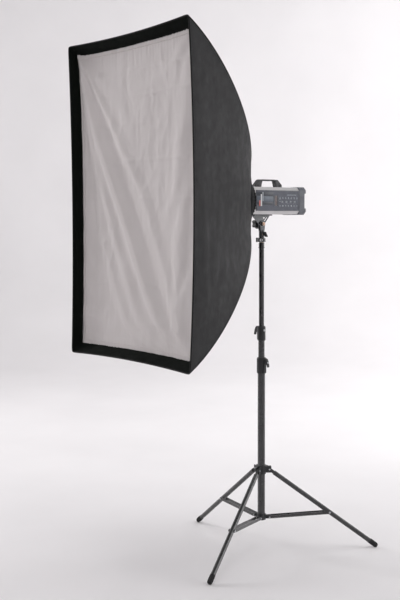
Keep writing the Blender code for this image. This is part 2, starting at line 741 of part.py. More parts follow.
def fork(swivel):
    """Two cheeks about the web, on the socket that turns on the stand's spigot."""
    top, foot = ADAPTER_TOP - PIVOT_Z, ADAPTER_FOOT - PIVOT_Z
    collar = COLLAR_TOP - PIVOT_Z
    socket_top = SPIGOT_TOP + 0.001 - PIVOT_Z
    bore = SPIGOT_R + 0.0004
    profile = ((0.0, top), (ADAPTER_R, top), (ADAPTER_R, collar), (COLLAR_R, collar - 0.002),
               (COLLAR_R, foot), (bore, foot), (bore, socket_top), (0.0, socket_top))
    obj = turned("bracket_fork", profile, "black_tube", swivel, (0, 0, PIVOT_Z), closed=False)
    arc = [(CHEEK_R * math.cos(a), CHEEK_R * math.sin(a))
           for a in (math.radians(20 * i) for i in range(10))]
    outline = arc + [(-ADAPTER_R * 0.8, top - 0.006), (ADAPTER_R * 0.8, top - 0.006)]
    for side in (-1, 1):
        near = side * (WEB_T / 2 + 0.0005)
        far = near + side * CHEEK_T
        join(obj, plate([outline], min(near, far), max(near, far), "YZ"))
    cut(obj, cylinder(BOLT_R + 0.0004, -0.02, 0.02, "X"))
    cut(obj, cylinder(PIN_HOLE, 0.004, 0.02, "X", (0.0, SCREW_Z - PIVOT_Z)))
    cut(obj, cylinder(PIN_HOLE, -0.02, -0.004, "X", (0.0, CLAMP_SCREW_Z - PIVOT_Z)))


CHEEK_FACE = WEB_T / 2 + 0.0005 + CHEEK_T


def tilt_lock(swivel):
    at = (0, 0, PIVOT_Z)
    head_x = CHEEK_FACE + GAP
    bolt = node("pivot_bolt", cylinder(BOLT_R, -0.034, head_x + 0.001, "X"), "chrome", swivel, at)
    join(bolt, cylinder(0.0085, head_x, head_x + 0.0055, "X", sides=6))
    turner = pivot("tilt_knob_pivot", at, swivel)
    near = -CHEEK_FACE - GAP
    knob = node("tilt_knob", cylinder(0.0090, near - 0.012, near, "X"), "black_plastic",
                turner, at)
    join(knob, plate([lobed(0.0185, 0.0025, 5, 40)], near - 0.030, near - 0.010, "YZ"))
    cut(knob, cylinder(BOLT_R + 0.0006, -0.036, 0.0, "X"))


def wing_screw(name, parent, at, reach, start, side, wing):
    """A thumb screw along X: a shank from start, then a thin wing that fingers turn."""
    turner = pivot(f"{name}_pivot", at, parent)
    span, thickness, length, twist = wing
    low, high = sorted((side * start, side * (reach + 0.003)))
    obj = node(name, cylinder(PIN_R, low, high, "X", sides=12), "black_plastic", turner, at)
    low, high = sorted((side * reach, side * (reach + 0.005)))
    join(obj, cylinder(0.0055, low, high, "X", sides=12))
    low, high = sorted((side * (reach + 0.003), side * (reach + length)))
    blade = block((low, -span / 2, -thickness / 2), (high, span / 2, thickness / 2))
    blade.transform(Matrix.Rotation(math.radians(twist), 4, "X"))
    join(obj, blade)


def bracket(head, swivel):
    bracket_plate(head)
    fork(swivel)
    tilt_lock(swivel)
    wing_screw("spigot_screw", swivel, (0, 0, SCREW_Z), ADAPTER_R + 0.002,
               SPIGOT_R + 0.0006, 1, SPIGOT_WING)
    wing_screw("adapter_screw", swivel, (0, 0, CLAMP_SCREW_Z), COLLAR_R + 0.001,
               SPIGOT_R + 0.0006, -1, ADAPTER_WING)


# ---- stand -----------------------------------------------------------------------------

def tubes(column, middle, top):
    base = (0, 0, 0)
    turned("column_tube", tube_profile(COLUMN_R, COLUMN_R - TUBE_WALL, COLUMN_BOTTOM, COLUMN_TOP),
           "black_tube", column, base)
    turned("middle_tube", tube_profile(MIDDLE_R, MIDDLE_R - TUBE_WALL + 0.0002, MIDDLE_BOTTOM,
                                       MIDDLE_TOP), "black_tube", middle, base)
    profile = ((0.0, SLEEVE_TOP), (0.0112, SLEEVE_TOP), (0.0112, SLEEVE_FOOT + 0.003),
               (0.0128, SLEEVE_FOOT + 0.003), (0.0128, SLEEVE_FOOT), (TOP_R, SLEEVE_FOOT),
               (TOP_R, TOP_BOTTOM), (TOP_R - TUBE_WALL, TOP_BOTTOM),
               (TOP_R - TUBE_WALL, SLEEVE_FOOT), (0.0, SLEEVE_FOOT))
    turned("top_tube", profile, "black_tube", top, base, closed=False)
    foot = SLEEVE_TOP + GAP
    profile = ((0.0, SPIGOT_TOP), (SPIGOT_R - 0.001, SPIGOT_TOP), (SPIGOT_R, SPIGOT_TOP - 0.001),
               (SPIGOT_R, SCREW_Z + 0.004), (SPIGOT_R - 0.001, SCREW_Z), (SPIGOT_R, SCREW_Z - 0.004),
               (SPIGOT_R, foot), (0.0, foot))
    turned("spigot", profile, "brass", top, base, closed=False)


def clamp_lever(name, parent, at, reach, start, side):
    """A clamp's screw along X, with a curved arm on its end for the fingers."""
    turner = pivot(f"{name}_pivot", at, parent)
    low, high = sorted((side * start, side * (reach + 0.003)))
    obj = node(name, cylinder(PIN_R, low, high, "X", sides=12), "black_plastic", turner, at)
    outline = [(side * (reach + out), up) for out, up in LEVER_ARM]
    join(obj, plate([outline], -LEVER_HALF, LEVER_HALF, "XZ"))


def clamp(name, heights, large, small, step, side, parent):
    """A collar on the top of one tube, with an ear that its screw closes on the tube inside."""
    low, high = heights
    body = large + 0.0038
    ear = body + 0.0050
    profile = ((small + 0.0035, high), (body, high - 0.004), (body, low + 0.004),
               (body - 0.002, low), (large + GAP, low), (large + GAP, step),
               (small + GAP, step), (small + GAP, high))
    obj = turned(name, profile, "black_plastic", parent, (0, 0, 0))
    screw_z = high - 0.016
    near, far = sorted((side * (body - 0.002), side * ear))
    join(obj, block((near, -0.0055, low + 0.003), (far, 0.0055, high - 0.005)))
    low_x, high_x = sorted((side * (small - 0.002), side * (ear + 0.01)))
    cut(obj, cylinder(PIN_HOLE, low_x, high_x, "X", (0.0, screw_z), 12))
    clamp_lever(f"{name}_lever", parent, (0, 0, screw_z), ear + 0.0005, small + 0.0006, side)


def turned_about_column(mesh, degrees):
    mesh.transform(Matrix.Rotation(math.radians(degrees), 4, "Z"))
    return mesh


def lug(end, half_width, half_height):
    return block((LUG_START, -half_width, -half_height), (end, half_width, half_height))


def leg_collar(slider):
    obj = turned("leg_collar", tube_profile(COLLAR_OUTER, COLUMN_R + GAP, -0.018, 0.016),
                 "black_plastic", slider, (0, 0, LEG_HINGE_Z))
    for angle in LEG_ANGLES:
        join(obj, turned_about_column(lug(*LEG_LUG), angle))
    join(obj, turned_about_column(cylinder(0.007, LUG_START, 0.027, "X", sides=12), KNOB_ANGLE))
    for angle in LEG_ANGLES:
        slot = block((SLOT_START, -SLOT_HALF, -0.03), (0.05, SLOT_HALF, 0.03))
        cut(obj, turned_about_column(slot, angle))
        cut(obj, turned_about_column(cylinder(PIN_HOLE, -0.02, 0.02, "Y", (HINGE_R, 0.0), 12), angle))
    cut(obj, turned_about_column(cylinder(PIN_HOLE, 0.012, 0.04, "X", sides=12), KNOB_ANGLE))

    turner = pivot("collar_knob_pivot", (0, 0, LEG_HINGE_Z), slider)
    knob = node("collar_knob", cylinder(PIN_R, COLUMN_R + 0.0006, 0.032, "X", sides=12),
                "black_plastic", turner, (0, 0, LEG_HINGE_Z),
                (0, 0, math.radians(KNOB_ANGLE)))
    join(knob, plate([lobed(0.0125, 0.002, 5, 40)], 0.0275, 0.041, "YZ"))


def brace_collar(column):
    obj = turned("brace_collar", tube_profile(COLLAR_OUTER, COLUMN_R + GAP, -0.011, 0.012),
                 "black_plastic", column, (0, 0, BRACE_HINGE_Z))
    for angle in LEG_ANGLES:
        join(obj, turned_about_column(lug(*BRACE_LUG), angle))
    for angle in LEG_ANGLES:
        cut(obj, turned_about_column(cylinder(PIN_HOLE, -0.02, 0.02, "Y", (HINGE_R, 0.0), 12), angle))


LEG_LENGTH = math.hypot(FOOT_RADIUS - HINGE_R, LEG_HINGE_Z - BALL_Z)
LEG_LEAN = math.atan2(FOOT_RADIUS - HINGE_R, LEG_HINGE_Z - BALL_Z)      # from straight down
JOINT_R = HINGE_R + BRACE_SHARE * (FOOT_RADIUS - HINGE_R)
JOINT_Z = LEG_HINGE_Z - BRACE_SHARE * (LEG_HINGE_Z - BALL_Z)
BRACE_LENGTH = math.hypot(JOINT_R - HINGE_R, JOINT_Z - BRACE_HINGE_Z)
BRACE_RISE = math.atan2(JOINT_Z - BRACE_HINGE_Z, JOINT_R - HINGE_R)     # from level


def legs(slider, column):
    down = Vector((math.sin(LEG_LEAN), 0, -math.cos(LEG_LEAN)))
    for number, angle in enumerate(LEG_ANGLES, 1):
        turn = (0, 0, math.radians(angle))
        out = Vector((math.cos(turn[2]), math.sin(turn[2]), 0)) * HINGE_R
        hinge = pivot(f"leg_{number}_pivot", out + Vector((0, 0, LEG_HINGE_Z)), slider)
        at = PLACES[hinge.name]
        tube = bar_between(down * LEG_TUBE_START, down * (LEG_LENGTH - 0.009), LEG_R, 16)
        leg = node(f"leg_{number}", tube, "black_tube", hinge, at, turn)
        join(leg, plate([stadium(0.032, 0.013, LEG_LEAN - math.pi / 2)],
                        -TANG_HALF, TANG_HALF, "XZ"))
        join(leg, cylinder(PIN_R, -0.0085, 0.0085, "Y", sides=12))
        foot_at = at + Matrix.Rotation(turn[2], 3, "Z") @ (LEG_LENGTH * down)
        # The turned foot stands along the leg: tipped about Y, then swung to the leg's side
        foot = turned(f"foot_{number}", foot_profile(), "rubber", hinge, foot_at, sides=20,
                      closed=False, turn=(0, -LEG_LEAN, turn[2]))
        cut(foot, block((-0.03, -0.03, -0.03), (0.03, 0.03, -BALL_Z)), turn=(0, 0, 0))

        hinge = pivot(f"brace_{number}_pivot", out + Vector((0, 0, BRACE_HINGE_Z)), column)
        outline = stadium(BRACE_LENGTH, BAR_W, BRACE_RISE)
        low, high = BAR_SIDE - BAR_T / 2, BAR_SIDE + BAR_T / 2
        brace = node(f"brace_{number}", plate([outline], low, high, "XZ"), "black_tube", hinge,
                     PLACES[hinge.name], turn)
        stub = high + RIVET_PROUD
        join(brace, cylinder(PIN_R, -stub, stub, "Y", sides=12))
        join(brace, plate([outline], -high, -low, "XZ"))
        end = (BRACE_LENGTH * math.cos(BRACE_RISE), BRACE_LENGTH * math.sin(BRACE_RISE))
        for side in (-1, 1):
            start, stop = sorted((side * BAR_SIDE, side * stub))
            join(brace, cylinder(RIVET_R, start, stop, "Y", end, 12))


def foot_profile():
    """A rubber cap: a sleeve that the leg's tube goes in, and a round end below it."""
    bore, mouth = LEG_R + GAP, 0.030
    ball = [(BALL_R * math.cos(a), -BALL_R * math.sin(a))
            for a in (math.pi / 2 * i / 5 for i in range(5))]
    return [(0.0, 0.008), (bore, 0.008), (bore, mouth), (CAP_R, mouth), *ball, (0.0, -BALL_R)]


def centre_on_floor(root):
    """Moves everything so that the origin is the middle of the object's box, on the floor."""
    bpy.context.view_layer.update()
    graph = bpy.context.evaluated_depsgraph_get()
    corners = []
    for obj in PARTS.objects:
        if obj.type != "MESH":
            continue
        solid = obj.evaluated_get(graph)
        places = [solid.matrix_world @ vert.co for vert in solid.data.vertices]
        for pick in (min, max):
            corners.append([pick(place[i] for place in places) for i in range(3)])
    low = [min(corner[i] for corner in corners) for i in range(3)]
    high = [max(corner[i] for corner in corners) for i in range(3)]
    root.location = (-(low[0] + high[0]) / 2, -(low[1] + high[1]) / 2, -low[2])


def main():
    clear_scene()
    make_looks()
    root = pivot("softbox_on_stand", (0, 0, 0))
    column = pivot("column", (0, 0, 0), root)
    slider = pivot("leg_slider", (0, 0, LEG_HINGE_Z), column)
    middle = pivot("middle_slide", (0, 0, LOWER_CLAMP[1]), column)
    top = pivot("top_slide", (0, 0, UPPER_CLAMP[1]), middle)
    swivel = pivot("swivel", (0, 0, PIVOT_Z), top)
    head = pivot("tilt", (0, 0, PIVOT_Z), swivel)
    box = pivot("softbox_turn", (0, RING_Y, AXIS_Z), head)

    tubes(column, middle, top)
    clamp("lower_clamp", LOWER_CLAMP, COLUMN_R, MIDDLE_R, COLUMN_TOP + GAP, 1, column)
    clamp("upper_clamp", UPPER_CLAMP, MIDDLE_R, TOP_R, MIDDLE_TOP + GAP, -1, middle)
    leg_collar(slider)
    brace_collar(column)
    legs(slider, column)
    bracket(head, swivel)
    flash_head(head)
    softbox(box)
    centre_on_floor(root)


main()
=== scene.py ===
"""Looks of the studio softbox: cloth, seams, mouldings and metal over the fixed frame.

Lengths are in metres in the frame's own axes: the softbox faces -Y, +X is the flash head's
control side and +Z is up. Every place is worked out from the frame's solids.
"""

import math

import bmesh
import bpy
import numpy as np
from mathutils import Matrix, Vector, noise


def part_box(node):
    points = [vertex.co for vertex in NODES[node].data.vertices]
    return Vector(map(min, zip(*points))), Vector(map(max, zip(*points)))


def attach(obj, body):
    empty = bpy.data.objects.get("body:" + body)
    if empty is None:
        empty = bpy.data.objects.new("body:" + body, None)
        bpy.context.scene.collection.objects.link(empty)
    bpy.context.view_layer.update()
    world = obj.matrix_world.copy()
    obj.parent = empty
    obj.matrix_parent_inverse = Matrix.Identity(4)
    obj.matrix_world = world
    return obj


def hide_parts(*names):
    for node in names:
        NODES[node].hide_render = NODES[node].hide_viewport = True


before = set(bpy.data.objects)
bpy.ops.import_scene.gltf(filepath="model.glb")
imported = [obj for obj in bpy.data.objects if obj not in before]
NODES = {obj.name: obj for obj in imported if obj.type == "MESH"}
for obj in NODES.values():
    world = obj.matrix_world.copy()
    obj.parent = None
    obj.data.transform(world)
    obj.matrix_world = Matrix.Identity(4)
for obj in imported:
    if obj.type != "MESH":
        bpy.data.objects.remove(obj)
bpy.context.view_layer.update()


# ---- camera, floor and light -----------------------------------------------------------

CAMERA_AT = (3.297, -2.602, 1.339)
CAMERA_YAW = math.radians(143.43)     # where it looks, from +X towards +Y
CAMERA_PITCH = math.radians(-4.18)
CAMERA_ROLL = math.radians(-0.18)
LENS_MM = 63.0


def camera():
    look = Vector((math.cos(CAMERA_YAW) * math.cos(CAMERA_PITCH),
                   math.sin(CAMERA_YAW) * math.cos(CAMERA_PITCH), math.sin(CAMERA_PITCH)))
    made = link("camera", bpy.data.cameras.new("camera"))
    made.data.lens = LENS_MM
    made.location = CAMERA_AT
    turn = look.to_track_quat("-Z", "Y").to_matrix() @ Matrix.Rotation(CAMERA_ROLL, 3, "Z")
    made.rotation_euler = turn.to_euler()
    bpy.context.scene.camera = made


def area_light(name, at, aim, size, power, colour=(1, 1, 1)):
    data = bpy.data.lights.new(name, "AREA")
    data.shape = "RECTANGLE"
    data.size, data.size_y = size
    data.energy = power
    data.color = colour
    made = link(name, data)
    made.location = at
    made.rotation_euler = (Vector(aim) - Vector(at)).to_track_quat("-Z", "Y").to_euler()
    made.visible_camera = False


# Radius and height of the paper sweep that the floor curves up into, all round
SWEEP = ((0.0001, 0), (2.0, 0), (4.5, 0), (5.6, 0.02), (6.4, 0.25), (7.1, 0.8), (7.5, 1.6),
         (7.6, 2.6), (7.6, 5.0), (7.6, 7.5))


def sweep_place(u, v):
    radius, height = SWEEP[round(v * (len(SWEEP) - 1))]
    return (radius * math.cos(math.tau * u), radius * math.sin(math.tau * u), height - 0.0005)


def studio():
    """A pale floor under a pale room, with soft light from behind, in front and above."""
    aim = (0, 0, 1.3)
    world = bpy.data.worlds.new("studio")
    world.use_nodes = True
    back = world.node_tree.nodes["Background"].inputs
    back["Color"].default_value = (1.0, 0.985, 0.99, 1)
    back["Strength"].default_value = 0.34
    bpy.context.scene.world = world
    bpy.context.scene.view_settings.view_transform = "Standard"

    floor = grid_object("floor", 96, len(SWEEP) - 1, sweep_place, around=True)
    floor.modifiers.new("smooth", "SUBSURF").levels = 1
    paint(floor, floor_finish())
    area_light("window", (3.4, 4.6, 2.6), aim, (3.0, 3.0), 90)
    area_light("wall_wash", (0.5, 4.2, 4.0), (-3.2, 6.6, 1.2), (3.0, 2.0), 230)
    area_light("side_fill", (-4.8, -1.75, 2.6), aim, (0.8, 2.0), 96, (1, 0.985, 0.985))
    area_light("strip", (1.3, -3.9, 2.0), (0.04, 0.12, 1.2), (0.4, 1.6), 13)
    area_light("top", (0.5, -0.5, 5.8), (0, 0, 0), (3.5, 3.5), 95)


def floor_finish():
    made = Finish("pale_floor", (0.78, 0.765, 0.775), 0.62)
    return made.tint(0.025, 1.3).uneven_gloss(0.08, 3.0).grain(18, 3, 0.15, 0.002)


# ---- material nodes --------------------------------------------------------------------

class Finish:
    """A Principled material that is built up from procedural layers."""

    def __init__(self, name, colour, roughness, metallic=0.0, **sockets):
        self.material = bpy.data.materials.new(name)
        self.material.use_nodes = True
        self.tree = self.material.node_tree
        self.shader = self.tree.nodes["Principled BSDF"]
        self.colour = colour
        self.roughness = roughness
        self.shader.inputs["Base Color"].default_value = (*colour, 1)
        self.shader.inputs["Roughness"].default_value = roughness
        self.shader.inputs["Metallic"].default_value = metallic
        for socket, value in sockets.items():
            self.shader.inputs[socket.replace("_", " ")].default_value = value
        self.place = self.tree.nodes.new("ShaderNodeTexCoord")

    def node(self, kind, values=None, **fields):
        made = self.tree.nodes.new(f"ShaderNode{kind}")
        for field, value in fields.items():
            setattr(made, field, value)
        for socket, value in (values or {}).items():
            if isinstance(value, bpy.types.NodeSocket):
                self.tree.links.new(value, made.inputs[socket])
            else:
                made.inputs[socket].default_value = value
        return made

    def noise(self, scale, detail=3.0, where="Object", stretch=None):
        source = self.place.outputs[where]
        if stretch is not None:
            source = self.node("Mapping", {"Vector": source, "Scale": stretch}).outputs["Vector"]
        values = {"Vector": source, "Scale": scale, "Detail": detail}
        return self.node("TexNoise", values).outputs["Fac"]

    def math(self, operation, first, second=0.0):
        return self.node("Math", {0: first, 1: second}, operation=operation).outputs[0]

    def spread(self, value, low, high, start=0.0, stop=1.0):
        values = {"Value": value, "From Min": start, "From Max": stop, "To Min": low, "To Max": high}
        return self.node("MapRange", values).outputs["Result"]

    def mix(self, factor, first, second):
        made = self.node("Mix", data_type="RGBA")
        for index, value in ((0, factor), (6, first), (7, second)):
            if isinstance(value, bpy.types.NodeSocket):
                self.tree.links.new(value, made.inputs[index])
            else:
                made.inputs[index].default_value = (*value, 1) if index else value
        return made.outputs[2]

    def tint(self, amount, scale, detail=4.0, **where):
        """Uneven colour: darker and lighter patches about the base colour."""
        patches = self.spread(self.noise(scale, detail, **where), 0.0, 1.0, 0.3, 0.7)
        low = tuple(c * (1 - amount) for c in self.colour)
        high = tuple(min(c * (1 + amount), 1.0) for c in self.colour)
        self.set("Base Color", self.mix(patches, low, high))
        return self

    def set(self, socket, value):
        self.tree.links.new(value, self.shader.inputs[socket])

    def uneven_gloss(self, amount, scale, detail=4.0):
        low, high = self.roughness - amount, self.roughness + amount
        self.set("Roughness", self.spread(self.noise(scale, detail), low, high, 0.3, 0.7))
        return self

    def bump(self, height, strength, distance):
        values = {"Height": height, "Strength": strength, "Distance": distance}
        previous = self.shader.inputs["Normal"].links
        if previous:
            values["Normal"] = previous[0].from_socket
        self.set("Normal", self.node("Bump", values).outputs["Normal"])
        return self

    def grain(self, scale, detail, strength, distance):
        """Small bumps of one size all over."""
        return self.bump(self.noise(scale, detail), strength, distance)

    def weave(self, pitch, strength, where="UV"):
        """Over-and-under threads along the two directions of the cloth."""
        scale = math.tau / 20 / pitch
        bands = [self.node("TexWave", {"Vector": self.place.outputs[where], "Scale": scale},
                           bands_direction=axis).outputs["Fac"] for axis in ("X", "Y")]
        self.bump(self.math("MULTIPLY", *bands), strength, pitch * 0.3)
        return self

    def worn_edges(self, worn, radius, amount):
        """Lighter rubbed edges, where a rounded normal turns away from the real one."""
        rounded = self.node("Bevel", {"Radius": radius}, samples=4).outputs["Normal"]
        true = self.node("NewGeometry").outputs["Normal"]
        dot = self.node("VectorMath", {0: rounded, 1: true}, operation="DOT_PRODUCT").outputs["Value"]
        edge = self.spread(dot, amount, 0.0, 0.75, 0.93)
        patchy = self.math("MULTIPLY", edge, self.spread(self.noise(240, 3), 0, 1, 0.35, 0.6))
        base = self.shader.inputs["Base Color"]
        under = base.links[0].from_socket if base.links else self.colour
        self.set("Base Color", self.mix(patchy, under, worn))
        return self


def paint(obj, finish):
    """Gives obj this finish, in place of whatever it had."""
    obj.data.materials.clear()
    obj.data.materials.append(finish.material)
    return obj


# ---- mesh helpers ----------------------------------------------------------------------

def link(name, data):
    made = bpy.data.objects.new(name, data)
    bpy.context.scene.collection.objects.link(made)
    return made


def from_arrays(name, points, faces):
    mesh = bpy.data.meshes.new(name)
    mesh.from_pydata([tuple(p) for p in points], [], faces)
    mesh.shade_smooth()
    return link(name, mesh)


def add_uv(obj, places):
    """Stores each vertex's place on the cloth, in metres, as the UV map."""
    layer = obj.data.uv_layers.new(name="cloth")
    corners = np.array([loop.vertex_index for loop in obj.data.loops])
    layer.data.foreach_set("uv", np.array(places, np.float32)[corners].ravel())


def grid_object(name, columns, rows, place, around=False, size=(1.0, 1.0)):
    """A sheet of quads: place(u, v) gives each point, u across and v down, 0 to 1."""
    last = columns if around else columns + 1
    steps = [(i / columns, j / rows) for j in range(rows + 1) for i in range(last)]
    faces = []
    for j in range(rows):
        for i in range(columns):
            a, b = j * last + i, j * last + (i + 1) % last
            faces.append((a, a + last, b + last, b))
    obj = from_arrays(name, [place(u, v) for u, v in steps], faces)
    add_uv(obj, [(u * size[0], v * size[1]) for u, v in steps])
    return obj


def ring_object(name, ring, rows, place, size):
    """A closed band of quads: place(item, v) for every item of the ring, v across it, 0 to 1."""
    count = len(ring)
    return grid_object(name, count, rows, lambda u, v: place(ring[round(u * count) % count], v),
                       around=True, size=size)


def numbers(columns, rows):
    """Each vertex's number in a grid of this many columns and rows of points."""
    return np.arange(columns * rows).reshape(rows, columns)


def settled_mesh(obj):
    """A new mesh with everything that obj's modifiers or its curve make of it."""
    graph = bpy.context.evaluated_depsgraph_get()
    graph.update()
    return bpy.data.meshes.new_from_object(obj.evaluated_get(graph))


def apply_modifiers(obj):
    mesh = settled_mesh(obj)
    obj.modifiers.clear()
    obj.data = mesh
    return obj


def thicken(obj, thickness, offset=0.0, lining=None):
    made = obj.modifiers.new("thickness", "SOLIDIFY")
    made.thickness = thickness
    made.offset = offset
    if lining is not None:
        obj.data.materials.append(lining.material)
        made.material_offset = 1
    return obj


def smooth_more(obj, levels=1):
    made = obj.modifiers.new("smooth", "SUBSURF")
    made.levels = levels
    made.render_levels = levels
    return obj


def coords(obj):
    out = np.zeros(len(obj.data.vertices) * 3)
    obj.data.vertices.foreach_get("co", out)
    return out.reshape(-1, 3)


def set_coords(obj, points):
    obj.data.vertices.foreach_set("co", np.ascontiguousarray(points, np.float32).ravel())
    obj.data.update()


def tube(name, points, radius, sides=8, closed=False):
    """A round cord of cloth or metal along the points."""
    curve = bpy.data.curves.new(name, "CURVE")
    curve.dimensions = "3D"
    curve.bevel_depth = radius
    curve.bevel_resolution = max(sides // 4 - 1, 0)
    curve.use_fill_caps = not closed
    spline = curve.splines.new("POLY")
    spline.points.add(len(points) - 1)
    for point, place in zip(spline.points, points):
        point.co = (*place, 1.0)
    spline.use_cyclic_u = closed
    guide = link(name + "_curve", curve)
    mesh = settled_mesh(guide)
    bpy.data.objects.remove(guide)
    mesh.shade_smooth()
    mesh.materials.clear()
    return link(name, mesh)


def resample(points, pitch):
    """Points every pitch along a polyline, with the direction of travel at each."""
    points = np.array([tuple(p) for p in points], float)
    steps = np.linalg.norm(np.diff(points, axis=0), axis=1)
    along = np.concatenate([[0], np.cumsum(steps)])
    marks = np.arange(pitch / 2, along[-1], pitch)

    def at(distances):
        return np.stack([np.interp(distances, along, points[:, i]) for i in range(3)], 1)

    ways = at(marks + pitch * 0.3) - at(marks - pitch * 0.3)
    return at(marks), ways / np.linalg.norm(ways, axis=1)[:, None]


STITCH_PITCH = 0.0048
STITCH = 0.0034
THREAD_R = 0.00042


def stitches(name, lines, finish):
    """Rows of thread: one small spindle for each stitch, all in one piece on the softbox."""
    sides = 5
    points, faces = [], []
    for line in lines:
        for place, way in zip(*resample(line, STITCH_PITCH)):
            place, way = Vector(place), Vector(way)
            across = way.orthogonal().normalized()
            other = way.cross(across)
            base = len(points)
            points.append(place - way * STITCH / 2)
            for shift in (-0.28, 0.28):
                for k in range(sides):
                    a = math.tau * k / sides
                    ring = across * math.cos(a) + other * math.sin(a)
                    points.append(place + way * STITCH * shift + ring * THREAD_R)
            points.append(place + way * STITCH / 2)
            near, far, tip = base + 1, base + 1 + sides, base + 1 + 2 * sides
            for k in range(sides):
                n = (k + 1) % sides
                faces += [(base, near + n, near + k), (near + k, near + n, far + n, far + k),
                          (tip, far + k, far + n)]
    return sew(paint(from_arrays(name, points, faces), finish))


def sew(obj):
    """Puts a piece on the softbox."""
    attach(obj, "softbox")
    return obj


def trim(name, line, radius, sides, finish, closed=False):
    """A tape, cord or seam of the softbox, as a tube along a line."""
    return sew(paint(tube(name, line, radius, sides, closed), finish))


# ---- cloth simulation ------------------------------------------------------------------

CLOTH_MASS = 0.15                 # of each point of the cloth, as Blender counts it


def drape(obj, pins, rest, frames, tension, bending, gravity=0.0):
    """Lets Blender's cloth settle from obj's shape towards the cut shape, and keeps the result."""
    group = obj.vertex_groups.new(name="pins")
    group.add([int(i) for i in pins], 1.0, "REPLACE")
    obj.shape_key_add(name="Basis")
    cut = obj.shape_key_add(name="cut")
    cut.data.foreach_set("co", np.ascontiguousarray(rest, np.float32).ravel())
    cloth = obj.modifiers.new("cloth", "CLOTH")
    settings = cloth.settings
    settings.quality = 6
    settings.mass = CLOTH_MASS
    settings.effector_weights.gravity = gravity
    settings.tension_stiffness = tension
    settings.compression_stiffness = tension
    settings.shear_stiffness = tension * 0.3
    settings.bending_stiffness = bending
    settings.air_damping = 2.0
    settings.vertex_group_mass = "pins"
    settings.rest_shape_key = cut
    cloth.collision_settings.use_collision = False
    cloth.point_cache.frame_start = 1
    cloth.point_cache.frame_end = frames
    scene = bpy.context.scene
    for i in range(1, frames + 1):
        scene.frame_set(i)
    apply_modifiers(obj)
    scene.frame_set(1)
    return obj


# ---- shape of the softbox --------------------------------------------------------------

# Cubic curve of the ridges: share of the front section, and depth behind the front plane
ROD_CURVE = ((1.0, 0.0), (0.85, 0.193), (0.4, 0.537), (0.12, 0.53))
SKIN_END = 0.9
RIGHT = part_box("panel_right")[1].x
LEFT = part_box("panel_left")[0].x
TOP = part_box("panel_top")[1].z
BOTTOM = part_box("panel_bottom")[0].z
FRONT_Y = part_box("front_lip")[0].y + 0.001
AXIS = Vector(((LEFT + RIGHT) / 2, 0.0, (TOP + BOTTOM) / 2))
HALF_W, HALF_H = (RIGHT - LEFT) / 2, (TOP - BOTTOM) / 2
SHEET_LOW, SHEET_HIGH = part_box("front_diffuser")
SHEET_W, SHEET_H = (SHEET_HIGH.x - SHEET_LOW.x) / 2, (SHEET_HIGH.z - SHEET_LOW.z) / 2
SHEET_Y = (SHEET_LOW.y + SHEET_HIGH.y) / 2
LIP_BACK_Y = SHEET_LOW.y - 0.0016
LIP_OVER = 0.002                  # how far the lip covers the diffuser's edge

# The rim is held at its corners, so each side gives way between them: right, top, left, bottom
RIM_BACK = (0.02, 0.012, 0.009, 0.012)
RIM_IN = (0.001, 0.008, 0.003, 0.008)
RIM_CORNER = 0.006
RIM_FADE = 0.22
PANEL_SAG = 0.01
LONG, SHORT = 72, 48              # columns of the shell along its tall and wide sides
CORNERS = [0, LONG, LONG + SHORT, 2 * LONG + SHORT]     # the columns on the four rods
ROUND_FRONT = 4.0                 # the front's outline, all round


def hills(x, y, z):
    """Smooth noise, between about -1 and 1."""
    return noise.noise(Vector((x, y, z)))


def bell(off, width):
    """1 on a line, falling away smoothly over about this width on both sides."""
    return math.exp(-(off / width) ** 2)


def rod_line(t):
    weights = ((1 - t) ** 3, 3 * (1 - t) ** 2 * t, 3 * (1 - t) * t ** 2, t ** 3)
    return tuple(sum(w * p[i] for w, p in zip(weights, ROD_CURVE)) for i in (0, 1))


def section_place(side, c, half_x, half_z):
    """A point on a rectangle: side 0 right, 1 top, 2 left, 3 bottom; c from -1 to 1 along it."""
    return ((half_x, c * half_z), (-c * half_x, half_z), (-half_x, -c * half_z),
            (c * half_x, -half_z))[side]


def drawn_in(side, x, z, inward):
    """Moves a point of one side towards the middle of the softbox."""
    if side in (0, 2):
        return x - math.copysign(inward, x), z
    return x, z - math.copysign(inward, z)


def around_places():
    """Every column of the shell as (side, c), from the lower right corner round."""
    return [(side, -1 + 2 * i / count)
            for side, count in enumerate((LONG, SHORT, LONG, SHORT)) for i in range(count)]


def rounded(x, z, half_x, half_z, radius):
    """Draws a point at the corner of a rectangle back on to an arc."""
    over_x, over_z = abs(x) - (half_x - radius), abs(z) - (half_z - radius)
    if min(over_x, over_z) <= 0:
        return x, z
    keep = radius / math.hypot(over_x, over_z)
    return (math.copysign(half_x - radius + over_x * keep, x),
            math.copysign(half_z - radius + over_z * keep, z))


def shell_point(side, c, t):
    share, depth = rod_line(t)
    slack = 1 - c * c
    fade = bell(t, RIM_FADE)
    inward = RIM_IN[side] * fade + PANEL_SAG * math.sin(math.pi * t / SKIN_END) ** 1.6
    x, z = section_place(side, c, HALF_W * share, HALF_H * share)
    x, z = rounded(x, z, HALF_W * share, HALF_H * share, RIM_CORNER * fade + 0.001)
    x, z = drawn_in(side, x, z, inward * slack)
    return Vector((AXIS.x + x, FRONT_Y + depth + RIM_BACK[side] * fade * slack, AXIS.z + z))


